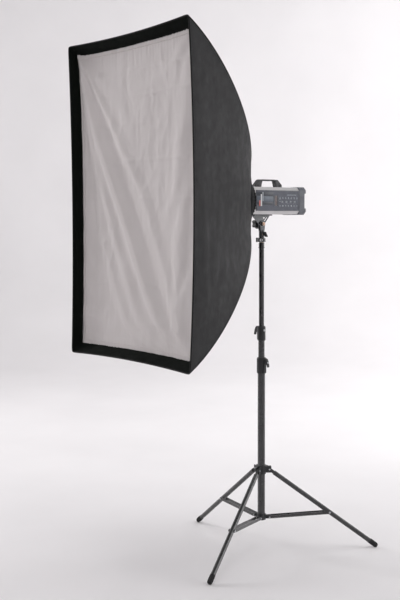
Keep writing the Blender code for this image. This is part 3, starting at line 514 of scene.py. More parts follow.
def lip_point(side, c, v):
    """The lip, from the rim (v = 0) back and in to its inner edge (v = 1)."""
    slack = 1 - c * c
    x, z = section_place(side, c, SHEET_W - LIP_OVER, SHEET_H - LIP_OVER)
    x, z = drawn_in(side, x, z, side_give(side, c))
    wave = 0.0012 * hills(x * 14, z * 14, side)
    edge = Vector((AXIS.x + x, LIP_BACK_Y + sheet_back(side, c) + wave * slack, AXIS.z + z))
    way = Vector((-x / HALF_W, 0, 0)) if side in (0, 2) else Vector((0, 0, -z / HALF_H))
    belly = 0.0015 + 0.004 * math.sin(math.pi * v) * slack
    return shell_point(side, c, 0.0).lerp(edge, v) + way * belly * min(1, 4 * v)


def side_give(side, c):
    """How far the lip's inner edge and the diffuser's edge are drawn in by the rim."""
    return (RIM_IN[side] * 0.6 + (0.0028 if side in (0, 2) else 0.0)) * (1 - c * c)


def sheet_back(side, c):
    """How far back the diffuser's edge sits, because its side of the rim gives way."""
    return 0.8 * RIM_BACK[side] * (1 - c * c)


# ---- softbox cloth ---------------------------------------------------------------------

SHELL_ROWS = 44


def nylon(name, colour, roughness=0.58, gloss=0.12):
    made = Finish(name, colour, roughness, Specular_IOR_Level=gloss)
    made.tint(0.1, 5.0).uneven_gloss(0.07, 30).grain(55, 4, 0.22, 0.002)
    return made.weave(0.0016, 0.35)


def shell():
    """The black shell: one continuous cloth over the four rods, silvered on the inside."""
    columns = around_places()
    shape = (SHELL_ROWS + 1, len(columns), 3)
    obj = ring_object("shell", columns, SHELL_ROWS,
                      lambda column, v: shell_point(*column, v * SKIN_END), (ROUND_FRONT, 0.75))
    index = numbers(shape[1], shape[0])
    pins = {*index[:3].ravel(), *index[-1], *index[:, CORNERS].ravel()}
    drape(obj, pins, cut_of_shell(coords(obj)), 24, 12, 2.0, 0.05)
    points = coords(obj).reshape(shape)
    points += crease_of_shell(points, columns)
    set_coords(obj, points)
    paint(obj, nylon("black_nylon", (0.023, 0.0232, 0.024)))
    thicken(obj, 0.0008, -1.0, silver_lining())
    apply_modifiers(smooth_more(obj))
    sew(obj)
    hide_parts("panel_right", "panel_left", "panel_top", "panel_bottom")
    return points


def cut_of_shell(points):
    """The cloth's own size: a little larger than the frame, so that it puckers between rods."""
    centre = np.array([AXIS.x, FRONT_Y, AXIS.z])
    return centre + (points - centre) * (1.01, 1.018, 1.004)


def crease_of_shell(points, columns):
    """Seed wrinkles and the packing fold across the middle of each tall side."""
    shift = np.zeros_like(points)
    last = points.shape[0] - 1
    for i, (side, c) in enumerate(columns):
        normal = np.array([(1, 0, 0), (0, 0, 1), (-1, 0, 0), (0, 0, -1)][side], float)
        for j in range(1, last):
            x, y, z = points[j, i]
            edge = min(1.0, 4 * (1 - abs(c))) * min(1.0, j / 4) * min(1.0, (last - j) / 3)
            level = (z - AXIS.z) if side in (0, 2) else (x - AXIS.x)
            fold = 0.0028 * bell(level - 0.012 + 0.02 * (y - FRONT_Y), 0.012)
            grain = Vector((y * 26, level * 5.0, side * 7.0))
            ripple = 0.0014 * noise.noise(grain) + 0.0007 * noise.noise(grain * 2.3)
            lower = 1.0 if z > AXIS.z else 1.5
            shift[j, i] = normal * edge * (lower * ripple - fold)
    return shift


def silver_lining():
    made = Finish("silver_lining", (0.72, 0.73, 0.75), 0.42, 0.55)
    return made.tint(0.08, 12).grain(90, 4, 0.3, 0.002)


def lip():
    """The black border between the rim and the diffuser, mitred at its corners."""
    obj = ring_object("front_border", around_places(), 8,
                      lambda column, v: lip_point(*column, v), (ROUND_FRONT, 0.045))
    # Painted shade: the border's cloth is a much darker copy of the shell's black nylon, standing in
    # for the shade that falls on the recessed border
    paint(obj, nylon("border_nylon_painted_shade", (0.005, 0.0062, 0.0052), 0.8, 0.03))
    thicken(obj, 0.001, -1.0)
    apply_modifiers(smooth_more(obj))
    sew(obj)
    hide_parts("front_lip")


def trims(shell_points):
    """Bindings, piping and the seams with their thread."""
    tape = nylon("binding_tape", (0.014, 0.0145, 0.0142), 0.7)
    thread = Finish("black_thread", (0.055, 0.056, 0.06), 0.5).tint(0.3, 300)
    columns = around_places()
    rim = [shell_point(side, c, 0.0) for side, c in columns]
    edge = [lip_point(side, c, 1.0) for side, c in columns]
    trim("rim_binding", softened(softened(rim)), 0.0026, 10, tape, True)
    trim("border_hem", edge, 0.0011, 8, tape, True)
    lines = []
    for number, corner in enumerate(CORNERS, 1):
        ridge = shell_points[:, corner]
        trim(f"ridge_piping_{number}", lifted([Vector(p) for p in ridge], -0.0012), 0.0019, 10,
             tape)
        mitre = [lip_point(*columns[corner], v / 8) + Vector((0, -0.0006, 0)) for v in range(9)]
        trim(f"border_seam_{number}", mitre, 0.0013, 8, tape)
        for step in (-1, 1):
            away = shell_points[:, (corner + step) % len(columns)] - ridge
            away /= np.linalg.norm(away, axis=1)[:, None]
            lines.append([Vector(p) for p in ridge + away * 0.007])
    second = shell_points[0] + (shell_points[1] - shell_points[0]) * 0.55
    lines.append([Vector(p) for p in (*second, second[0])])
    stitches("seam_stitches", [lifted(line, 0.0008) for line in lines], thread)


def softened(loop):
    """Cuts the corners of a closed line of points."""
    pairs = zip(loop, loop[1:] + loop[:1])
    return [point for a, b in pairs for point in (a.lerp(b, 0.25), a.lerp(b, 0.75))]


def from_axis(point):
    """The way straight out from the softbox's axis through a point."""
    return Vector((point.x - AXIS.x, 0, point.z - AXIS.z)).normalized()


def lifted(line, rise):
    return [p + from_axis(p) * rise for p in line]


# ---- diffuser --------------------------------------------------------------------------

DIFFUSER_COLUMNS, DIFFUSER_ROWS = 120, 178
HEM_CELLS = 3
CORNER_FAN = 0.45                 # how far from its corner the cloth's folds spread apart
# Crests that run down from the upper -X corner: their height, half width, and how far they
# lie to the +X side of the diagonal after each FOLD_STEPS of the way along it
FOLD_STEPS = (0.0, 0.25, 0.5, 0.75, 1.0)
CRESTS = ((0.019, 0.03, (0.000, 0.03, 0.052, 0.000, -0.05)),
          (0.016, 0.032, (0.000, -0.085, -0.1, -0.135, -0.12)),
          (0.01, 0.03, (0.000, -0.13, -0.195, -0.235, -0.27)),
          (0.007, 0.028, (0.000, -0.15, -0.28, -0.32, -0.36)),
          (0.006, 0.05, (0.000, 0.1, 0.15, 0.13, 0.06)),
          (-0.006, 0.03, (0.000, -0.01, -0.035, -0.07, -0.08)))
SIDE_CREST = (0.86, 0.012, 0.045)    # the soft upright fold near the +X edge
SWAG_DEPTH, SWAG_RISE, SWAG_WIDTH = 0.17, 0.006, 0.03      # the cloth's hang below its top hem
LEFT_CURL = 0.0045                # how far the -X hem turns back


def flat_diffuser(u, v):
    """A point of the sheet before it folds; its edges follow the rim's give."""
    cx, cz = 2 * u - 1, 2 * v - 1
    right, top, left, bottom = (sheet_back(side, c) for side, c in enumerate((cz, cx, cz, cx)))
    back = u * right + (1 - u) * left + (1 - v) * top + v * bottom
    narrow = u * side_give(0, cz) - (1 - u) * side_give(2, cz)
    lower = (1 - v) * side_give(1, cx) - v * side_give(3, cx)
    ear = bell(u, 0.045) * bell(v, 0.03)
    return Vector((AXIS.x + SHEET_W * cx - narrow - 0.006 * ear, SHEET_Y + back - 0.004 * ear,
                   AXIS.z - SHEET_H * cz - lower + 0.008 * ear))


def fold_height(u, v):
    """Tension folds from the corner that the cloth hangs from, positive towards the front."""
    x, down = 2 * SHEET_W * u, 2 * SHEET_H * v
    length = math.hypot(2 * SHEET_W, 2 * SHEET_H)
    ex, ez = 2 * SHEET_W / length, 2 * SHEET_H / length
    along, across = x * ex + down * ez, x * ez - down * ex
    open_out = 0.35 + 0.65 * min(1.0, along / CORNER_FAN)
    height = 0.0
    for rise, width, line in CRESTS:
        off = across - float(np.interp(along / length, FOLD_STEPS, line))
        height += rise * open_out * bell(off, width * open_out)
    place, rise, width = SIDE_CREST
    sway = 0.012 * hills(0.0, down * 3.0, 4.0)
    height += rise * bell((u - place) * 2 * SHEET_W + sway, width) * min(1, 3 * v)
    sag = SWAG_DEPTH * (1 - (2 * u - 1) ** 2)
    height += SWAG_RISE * bell(down - sag, SWAG_WIDTH)
    edge = min(1.0, 24 * u + 0.1, 10 * (1 - u), 22 * v + 0.15, 10 * (1 - v))
    curl = LEFT_CURL * bell(u, 0.014) * (0.6 + hills(0.0, down * 4, 8.0))
    return height * max(edge, 0.0) * min(1.0, 1.25 - 0.5 * along / length) - curl


CREASES_ACROSS = (0.085, 0.165, 0.255, 0.375, 0.5, 0.64, 0.78, 0.9)
CREASES_DOWN = (0.255, 0.52, 0.77)
CREASE_RISE, CREASE_WIDTH = 0.002, 0.0055
WRINKLE = 0.0075
DIFFUSER_REACH = 0.019            # the folds stay this near to the flat sheet


def crumple(x, down, seed):
    """Crisp little creases: the ridges of a noise, not its round hills."""
    first = hills(x * 17, down * 7, seed)
    second = hills(x * 38, down * 19, seed + 3)
    return (0.35 - abs(first)) + 0.45 * (0.35 - abs(second))


def packing_crease(off, strength):
    """The height of one pressed crease at a distance from its line."""
    return max(0.0, strength) * bell(off, CREASE_WIDTH) * CREASE_RISE


def crease_height(u, v):
    """The square packing creases that the cloth was stored with, and the puckers at its hems."""
    x, down = 2 * SHEET_W * u, 2 * SHEET_H * v
    height = 0.0
    for line in CREASES_DOWN:
        off = (u - line) * 2 * SHEET_W + 0.009 * hills(line * 9, down * 6, 6.0)
        height += packing_crease(off, 0.35 + 1.4 * hills(line * 31, down * 5, 1.0))
    for line in CREASES_ACROSS:
        off = (v - line) * 2 * SHEET_H + 0.008 * hills(x * 7, line * 9, 6.0)
        patchy = 1.3 * hills(x * 5, line * 37, 2.0)
        height += packing_crease(off, (0.6 if line < 0.4 else 0.3) + patchy)
    pucker = math.exp(-down / 0.04) + 0.8 * math.exp(-(2 * SHEET_H - down) / 0.035)
    height += 0.0021 * pucker * math.sin(x * 330 + 4 * hills(x * 16, 0, 0))
    packed = 0.6 + 0.6 * hills(x * 3, down * 2.5, 12.0)
    return height + WRINKLE * packed * crumple(x, down, 5.0)


def diffuser():
    """The white cloth in the front, slack and pulled from its upper corner."""
    columns, rows = DIFFUSER_COLUMNS, DIFFUSER_ROWS
    obj = grid_object("diffuser", columns, rows, flat_diffuser, size=(2 * SHEET_W, 2 * SHEET_H))
    flat = coords(obj)
    steps = [(i / columns, j / rows) for j in range(rows + 1) for i in range(columns + 1)]
    shaped = flat.copy()
    shaped[:, 1] -= [fold_height(u, v) for u, v in steps]
    set_coords(obj, shaped)
    index = numbers(columns + 1, rows + 1)
    inner = index[HEM_CELLS:-HEM_CELLS, HEM_CELLS:-HEM_CELLS]
    drape(obj, {*index.ravel()} - {*inner.ravel()}, cut_of_diffuser(shaped), 22, 14, 6.0, 0.04)
    shaped = coords(obj)
    shaped[:, 1] -= [crease_height(u, v) for u, v in steps]
    shaped[:, 1] = np.clip(shaped[:, 1], flat[:, 1] - DIFFUSER_REACH, flat[:, 1] + DIFFUSER_REACH)
    set_coords(obj, shaped)
    cloth = diffuser_finish()
    sew(apply_modifiers(thicken(smooth_more(paint(obj, cloth)), 0.0005)))
    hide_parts("front_diffuser")
    hem = diffuser_hem(shaped.reshape(rows + 1, columns + 1, 3), cloth)


def cut_of_diffuser(points):
    """The cloth as it was cut: wider across the diagonal from which it hangs."""
    length = math.hypot(SHEET_W, SHEET_H)
    across = np.array([SHEET_H, 0, SHEET_W]) / length
    centre = np.array([AXIS.x, SHEET_Y, AXIS.z])
    away = (points - centre) @ across
    return points + 0.016 * away[:, None] * across


def edge_of(rows, columns):
    """The (row, column) places round the edge of a grid of points, in order."""
    places = [(0, i) for i in range(columns - 1)] + [(j, columns - 1) for j in range(rows - 1)]
    places += [(rows - 1, i) for i in range(columns - 1, 0, -1)]
    return places + [(j, 0) for j in range(rows - 1, 0, -1)]


def diffuser_hem(points, cloth):
    """The turned hem round the sheet, with two rows of thread."""
    rows, columns = points.shape[:2]
    ring = edge_of(rows, columns)

    def inset(place, share):
        inner = tuple(min(max(k, HEM_CELLS), count - 1 - HEM_CELLS)
                      for k, count in zip(place, (rows, columns)))
        return points[place] * (1 - share) + points[inner] * share + (0, -0.0012, 0)

    band = ring_object("diffuser_hem", ring, 4, inset, (2 * (SHEET_W + SHEET_H), 0.016))
    sew(apply_modifiers(thicken(paint(band, cloth), 0.0006)))
    thread = Finish("white_thread", (0.52, 0.49, 0.46), 0.7).tint(0.2, 300)
    lines = [[Vector(inset(place, share)) + Vector((0, -0.0007, 0)) for place in ring + ring[:1]]
             for share in (0.25, 0.9)]
    return [band, stitches("hem_stitches", lines, thread)]


def diffuser_finish(name="diffuser_cloth"):
    made = Finish(name, (0.6, 0.565, 0.56), 0.85, Sheen_Weight=0.1)
    return made.tint(0.035, 3.5).weave(0.0014, 0.25)


# ---- inner cloths ----------------------------------------------------------------------

def inner_baffle():
    """The second diffuser, part way back, held at its corners by elastic tabs."""
    low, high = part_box("inner_baffle")
    size = (high.x - low.x, high.z - low.z)
    y = (low.y + high.y) / 2
    columns, rows = 36, 54

    def place(u, v):
        slack = (1 - (2 * u - 1) ** 2) * 0.006
        ripple = 0.0025 * hills(u * 5 + v * 3, v * 6, 9.0)
        pull = 0.008 * math.sin(math.pi * v) * (1 - 2 * u)
        return Vector((low.x + size[0] * u + pull, y + ripple,
                       high.z - size[1] * v + slack * (v - 0.5)))

    obj = grid_object("inner_cloth", columns, rows, place, size=size)
    flat = coords(obj)
    index = numbers(columns + 1, rows + 1)
    centre = flat.mean(axis=0)
    drape(obj, {*index[0], index[-1, 0], index[-1, -1]}, centre + (flat - centre) * 1.006,
          20, 12, 1.0, 0.3)
    paint(obj, diffuser_finish("baffle_cloth"))
    edge = coords(obj).reshape(rows + 1, columns + 1, 3)
    ring = [*edge[0], *edge[1:, -1], *edge[-1, -2::-1], *edge[-2:0:-1, 0]]
    sew(apply_modifiers(thicken(smooth_more(obj), 0.0005)))
    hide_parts("inner_baffle")
    tape = nylon("baffle_tape", (0.03, 0.03, 0.031), 0.7)
    pieces = [trim("inner_cloth_binding", ring, 0.0013, 8, tape, True)]
    for number, corner in enumerate(((0, -1), (0, 0), (-1, 0), (-1, -1)), 1):
        start = Vector(edge[corner])
        way = from_axis(start)
        line = [start + way * 0.01 * k + Vector((0, 0.0015 * math.sin(k), 0)) for k in range(5)]
        pieces.append(trim(f"baffle_elastic_{number}", line, 0.0016, 8, tape))


PLEATS = 44
NECK_R = 0.0795                   # of the collar, where its elastic grips the head
HEM_START = 0.85                  # where the collar's hem flares out, along its depth


def rear_collar():
    """The cloth behind the shell, gathered by elastic on to the flash head."""
    low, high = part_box("rear_collar")
    half_x, half_z = (high.x - low.x) / 2, (high.z - low.z) / 2
    front, back = FRONT_Y + rod_line(SKIN_END)[1] - 0.002, high.y - 0.0015
    columns, rows = PLEATS * 6, 14

    def place(u, v):
        angle = math.tau * u
        x, z = math.cos(angle), math.sin(angle)
        reach = 1 / (abs(x / half_x) ** 8 + abs(z / half_z) ** 8) ** (1 / 8)
        depth = min(v / HEM_START, 1.0)
        radius = reach * (1 - depth) + NECK_R * depth
        fold = 0.5 + 0.5 * math.sin(angle * PLEATS + 1.2 * hills(x * 3, z * 3, 2.0))
        gather = depth ** 1.5 * 0.0032
        bulge = 0.006 * math.sin(math.pi * depth)
        hem = 0.004 * max(0.0, v - HEM_START) / (1 - HEM_START)
        radius += fold * gather + bulge + hem
        y = front + (back - front) * v + 0.002 * hills(x * 4, z * 4, v * 3)
        return Vector((AXIS.x + x * radius, min(y, back), AXIS.z + z * radius))

    obj = grid_object("gathered_collar", columns, rows, place, around=True, size=(0.86, 0.11))
    paint(obj, nylon("collar_nylon", (0.03, 0.031, 0.032), 0.7))
    sew(apply_modifiers(thicken(smooth_more(obj), 0.0008)))
    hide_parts("rear_collar")
    ring = [place(i / columns, HEM_START + 0.01) for i in range(columns)]
    elastic = trim("collar_elastic", lifted(ring, 0.001), 0.0022, 8,
                   nylon("elastic_tape", (0.022, 0.022, 0.023), 0.8), True)


# ---- hard parts: a small kit -----------------------------------------------------------

class Moulding:
    """Rounded shapes gathered into one mesh."""

    def __init__(self):
        self.mesh = bmesh.new()

    def slab(self, low, high, rounding=0.0004, segments=2):
        low, high = Vector(low), Vector(high)
        size = Matrix.Diagonal((*(high - low), 1))
        made = bmesh.ops.create_cube(self.mesh, size=1,
                                     matrix=Matrix.Translation((low + high) / 2) @ size)
        edges = list({edge for vert in made["verts"] for edge in vert.link_edges})
        bmesh.ops.bevel(self.mesh, geom=edges, offset=rounding, segments=segments,
                        affect="EDGES", profile=0.5)
        return self

    def spun(self, profile, at, way, sides=24, closed=False):
        """Turns (radius, height) or (radius, height, "hex") points about way through at."""
        turn = Vector(way).normalized().to_track_quat("Z", "Y").to_matrix()
        rings = []
        for radius, height, *shape in profile:
            ring = []
            for k in range(sides):
                angle = math.tau * k / sides
                flat = math.cos(math.pi / 6) / math.cos(angle % (math.pi / 3) - math.pi / 6)
                reach = radius * flat if shape else radius
                local = Vector((reach * math.cos(angle), reach * math.sin(angle), height))
                ring.append(self.mesh.verts.new(Vector(at) + turn @ local))
            rings.append(ring)
        pairs = list(zip(rings, rings[1:]))
        if closed:
            pairs.append((rings[-1], rings[0]))
        for near, far in pairs:
            for k in range(sides):
                n = (k + 1) % sides
                self.mesh.faces.new((near[k], near[n], far[n], far[k]))
        if not closed:
            self.mesh.faces.new(rings[0][::-1])
            self.mesh.faces.new(rings[-1])
        return self

    def socket_screw(self, at, way, radius, height):
        """A cap screw's head, with a hexagonal hole for its key."""
        hole, soft = radius * 0.52, min(radius, height) * 0.22
        return self.spun(((radius, -0.0002), (radius, height - soft), (radius - soft, height),
                          (hole * 1.12, height), (hole, height - soft / 2, "hex"),
                          (hole, height * 0.35, "hex")), at, way)

    def rivet(self, at, way, radius, height):
        dome = [(radius * math.cos(a), height * math.sin(a))
                for a in (math.pi / 2 * i / 6 for i in range(6))]
        return self.spun(((radius, -0.0003), *dome), at, way, 20)

    def washer(self, at, way, outer, inner, height):
        soft = height * 0.3
        return self.spun(((inner, 0), (outer, 0), (outer, height - soft), (outer - soft, height),
                          (inner, height)), at, way, 32, closed=True)

    def ring(self, at, way, radius, thickness, sides=40):
        """A round bead, such as a moulded rib about a cap."""
        section = [(radius + thickness * math.cos(a), thickness * math.sin(a))
                   for a in (math.tau * i / 8 for i in range(8))]
        return self.spun(section, at, way, sides, closed=True)

    def piece(self, name, finish, body, slot, sharp=40):
        bmesh.ops.recalc_face_normals(self.mesh, faces=self.mesh.faces)
        mesh = bpy.data.meshes.new(name)
        self.mesh.to_mesh(mesh)
        self.mesh.free()
        mesh.shade_smooth()
        mesh.set_sharp_from_angle(angle=math.radians(sharp))
        obj = paint(link(name, mesh), finish)
        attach(obj, body)
        return obj


# ---- finishes of the hard parts --------------------------------------------------------

def moulded(name, colour, roughness=0.5, scale=900, depth=0.5):
    """Injection moulded plastic with a fine spark-eroded grain."""
    made = Finish(name, colour, roughness).tint(0.14, 40).uneven_gloss(0.08, 60)
    return made.grain(scale, 2, depth, 0.0003).grain(60, 3, 0.12, 0.0006)


def coated_tube(name="black_tube", colour=(0.028, 0.0285, 0.03)):
    """Black anodised tube: long faint scratches, and edges rubbed back to the metal."""
    made = Finish(name, colour, 0.3, 0.3, Specular_IOR_Level=0.75, Coat_Weight=0.5,
                  Coat_Roughness=0.16)
    made.tint(0.25, 14).uneven_gloss(0.07, 25)
    made.bump(made.noise(420, 2, stretch=(1, 1, 0.04)), 0.12, 0.0003)
    return made.worn_edges((0.22, 0.22, 0.23), 0.0008, 0.5)


def bright_metal(name, colour, roughness=0.22):
    made = Finish(name, colour, roughness, 1.0)
    return made.tint(0.12, 90).uneven_gloss(0.08, 120).grain(700, 2, 0.12, 0.0002)


def painted_metal(name, colour):
    """Sprayed and baked paint, with orange peel and rubbed corners."""
    made = Finish(name, colour, 0.4, 0.35, Coat_Weight=0.1, Coat_Roughness=0.35)
    made.tint(0.06, 16).uneven_gloss(0.06, 60).grain(420, 3, 0.22, 0.0004)
    return made.worn_edges((0.62, 0.62, 0.63), 0.0014, 0.5)


def rubber_finish():
    made = Finish("rubber", (0.012, 0.012, 0.0125), 0.82)
    return made.tint(0.5, 60).grain(300, 5, 0.55, 0.0008)


def clear_glass(name, roughness):
    made = Finish(name, (1, 1, 1), roughness, Transmission_Weight=0.85, IOR=1.46)
    return made.uneven_gloss(min(roughness * 0.6, 0.1), 90).grain(160, 3, 0.08, 0.0004)


def board_finish():
    made = Finish("board_green", (0.02, 0.12, 0.05), 0.4)
    tracks = made.node("TexBrick", {"Vector": made.place.outputs["Object"], "Scale": 190.0,
                                    "Mortar Size": 0.03, "Color1": (0.02, 0.12, 0.05, 1),
                                    "Color2": (0.03, 0.16, 0.06, 1), "Mortar": (0.45, 0.36, 0.16, 1)})
    made.set("Base Color", tracks.outputs["Color"])
    return made.bump(tracks.outputs["Fac"], 0.4, 0.0004)


def dress_frame():
    """Gives every solid that stays its finish."""
    plastic = moulded("black_plastic", (0.018, 0.0185, 0.02))
    worn_plastic = moulded("black_casting", (0.02, 0.021, 0.0225), 0.44)
    worn_plastic.worn_edges((0.16, 0.16, 0.17), 0.0012, 0.5)
    tube_finish = coated_tube()
    chrome = bright_metal("chrome", (0.66, 0.67, 0.69), 0.16)
    rubber = rubber_finish()
    slate = moulded("slate_plastic", (0.078, 0.087, 0.114), 0.42, 1400, 0.3)
    legs = [f"{kind}_{i}" for kind in ("leg", "brace") for i in (1, 2, 3)]
    looks = (
        (tube_finish, ("column_tube", "middle_tube", "top_tube", *legs)),
        (coated_tube("bracket_enamel", (0.046, 0.049, 0.054)), ("bracket_plate", "bracket_fork")),
        (bright_metal("brass", (0.62, 0.42, 0.17), 0.3), ("spigot",)),
        (worn_plastic, ("lower_clamp", "upper_clamp", "leg_collar", "brace_collar")),
        (plastic, ("lower_clamp_lever", "upper_clamp_lever", "collar_knob", "tilt_knob",
                   "spigot_screw", "adapter_screw", "mains_inlet", "power_switch", "fan_rotor")),
        (moulded("handle_plastic", (0.034, 0.034, 0.036), 0.38), ("handle",)),
        (rubber, ("foot_1", "foot_2", "foot_3")),
        (bright_metal("bolt_steel", (0.2, 0.17, 0.155), 0.4), ("pivot_bolt",)),
        (chrome, ("bayonet_ring", "release_lever")),
        (painted_metal("silver_housing", (0.62, 0.61, 0.615)), ("housing", "capacitor")),
        (moulded("frame_plastic", (0.118, 0.126, 0.145), 0.46), ("front_frame", "rear_frame")),
        (slate, ("rear_panel", "side_panel")),
        (board_finish(), ("circuit_board",)),
        (Finish("display_lens", (0.05, 0.038, 0.042), 0.22, Coat_Weight=0.3).tint(0.3, 400),
         ("display",)),
        (moulded("button_grey", (0.3, 0.32, 0.35), 0.5), [f"button_{i}" for i in (1, 2, 3, 4)]),
        (clear_glass("frosted_glass", 0.38), ("glass_dome",)),
        (clear_glass("tube_glass", 0.08), ("flash_tube", "modelling_lamp")),
        (bright_metal("spring_steel", (0.45, 0.46, 0.47), 0.3), [f"rod_{i}" for i in (1, 2, 3, 4)]),
        (painted_metal("cast_alloy", (0.44, 0.44, 0.45)), ("speedring",)))
    for finish, names in looks:
        for name in names:
            for slot in NODES[name].material_slots:
                slot.material = finish.material


# ---- flash head ------------------------------------------------------------------------

def slabs(name, finish, face, places, slot="side_panel", segments=2):
    """Slabs on one side of the head: (y, z, far y, far z, inwards, outwards, rounding) each."""
    shapes = Moulding()
    for y, z, far_y, far_z, behind, ahead, rounding in places:
        shapes.slab((face - behind, y, z), (face + ahead, far_y, far_z), rounding, segments)
    shapes.piece(name, finish, "flash_head", slot)


def side_panel_details():
    """Steps, rails, marks and a plain badge on the control side."""
    low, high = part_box("side_panel")
    face, middle = high.x, (low.z + high.z) / 2
    display_low, display_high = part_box("display")
    start, stop = low.y + 0.003, display_low.y - 0.006
    slabs("panel_band", moulded("panel_step", (0.125, 0.15, 0.185), 0.42, 1400, 0.3), face,
          [(start, middle - 0.004, stop, middle + 0.017, 0.0004, 0.0007, 0.0003)])
    slabs("panel_insets", moulded("panel_inset", (0.045, 0.052, 0.066), 0.4, 1400, 0.3), face,
          [(start, middle + foot, stop, middle + head, 0.0004, 0.0003, 0.0002)
           for foot, head in ((0.019, 0.034), (-0.016, -0.006))])
    rail = moulded("panel_rail", (0.13, 0.139, 0.158), 0.38, 1400, 0.3)
    rails = [(low.y + 0.002, edge - 0.0013, high.y - 0.002, edge + 0.0013, 0.0004, 0.0009, 0.0005)
             for edge in (low.z + 0.0022, high.z - 0.0022)]
    rails.append((high.y - 0.0055, low.z + 0.005, high.y - 0.003, high.z - 0.005,
                  0.0004, 0.0007, 0.0004))
    slabs("panel_rails", rail, face, rails)

    print_grey = moulded("print_grey", (0.5, 0.54, 0.58), 0.5)
    badge = display_low.y - 0.08
    for colour, finish, y, far_y, foot, head, rise in (
            ("red", moulded("badge_red", (0.64, 0.17, 0.14), 0.45), 0, 0.0065, -0.022, 0.001, 0.0011),
            ("white", moulded("badge_white", (0.74, 0.75, 0.76), 0.45), 0.0085, 0.0145, -0.022,
             0.025, 0.0011),
            ("grey", print_grey, 0.0175, 0.0215, -0.002, 0.033, 0.001)):
        slabs(f"badge_{colour}_bar", finish, face,
              [(badge + y, middle + foot, badge + far_y, middle + head, 0, rise, 0.0003)])

    slabs("display_frame", rail, face,
          [(y, display_low.z - 0.002, y + 0.0016, display_high.z + 0.002, 0.0004, 0.0012, 0.0004)
           for y in (display_low.y - 0.0022, display_high.y + 0.0006)], "display")
    lit = Finish("display_segments", (0.15, 0.075, 0.07), 0.4).tint(0.25, 500)
    levels = [display_low.z + 0.004 + k * 0.004 for k in range(9)]
    slabs("display_bars", lit, display_high.x,
          [(display_low.y + 0.004, z - 0.0008, display_high.y - 0.004, z + 0.0008, 0.0001, 0.0004,
            0.0002) for z in levels], "display", 1)

    first, pitch = display_high.y + 0.013, 0.015
    marks = [(0.038, 0.086, 0.0225, 0.024)]
    lamps = Moulding()
    for k, size in enumerate((0.0042, 0.0026, 0.003, 0.0026, 0.0034, 0.0026, 0.0032)):
        y = k * pitch
        marks += [(y - size, y + size, 0.0078, 0.0092), (y - 0.0013, y + 0.0013, 0.0108, 0.014)]
        lamps.rivet((face - 0.0002, first + y, middle - 0.0205), (1, 0, 0),
                    0.0028 if k % 3 == 1 else 0.0021, 0.0009)
    slabs("panel_marks", print_grey, face,
          [(first + y, middle + foot, first + far_y, middle + head, 0.0002, 0.0003, 0.0002)
           for y, far_y, foot, head in marks], segments=1)
    lamps.piece("panel_lamps", moulded("lamp_lens", (0.55, 0.58, 0.6), 0.25), "flash_head",
                "side_panel")
    dial = Moulding()
    dial.ring((face + 0.0003, first - 0.001, middle + 0.001), (1, 0, 0), 0.0052, 0.0006)
    for k in (1, 2, 3, 4):
        near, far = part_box(f"button_{k}")
        dial.slab((face - 0.0002, near.y - 0.0016, near.z - 0.0018),
                  (face + 0.0002, far.y + 0.0016, near.z - 0.0012), 0.0001, 1)
    dial.piece("button_rings", print_grey, "flash_head", "side_panel")


def plain_side_details():
    """Louvres and a raised border on the side away from the controls."""
    low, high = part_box("housing")
    middle = (low.z + high.z) / 2
    count, pitch = 12, 0.0062
    louvres = [group + k * pitch for group in (low.y + 0.036, high.y - 0.034 - count * pitch)
               for k in range(count)]
    slabs("side_louvres", moulded("vent_plastic", (0.028, 0.031, 0.037), 0.5), low.x,
          [(y, middle - 0.024, y + 0.0026, middle + 0.024, 0.0012, 0.0004, 0.0006)
           for y in louvres], "housing")
    start, stop = low.y + 0.012, high.y - 0.012
    border = [(start, middle + z - 0.0012, stop, middle + z + 0.0012) for z in (-0.036, 0.036)]
    border += [(y, middle - 0.036, y + 0.0025, middle + 0.036) for y in (start, stop - 0.0025)]
    slabs("side_border", moulded("border_slate", (0.09, 0.1, 0.12), 0.42), low.x,
          [(*edges, 0.0009, 0.0004, 0.0005) for edges in border], "housing")


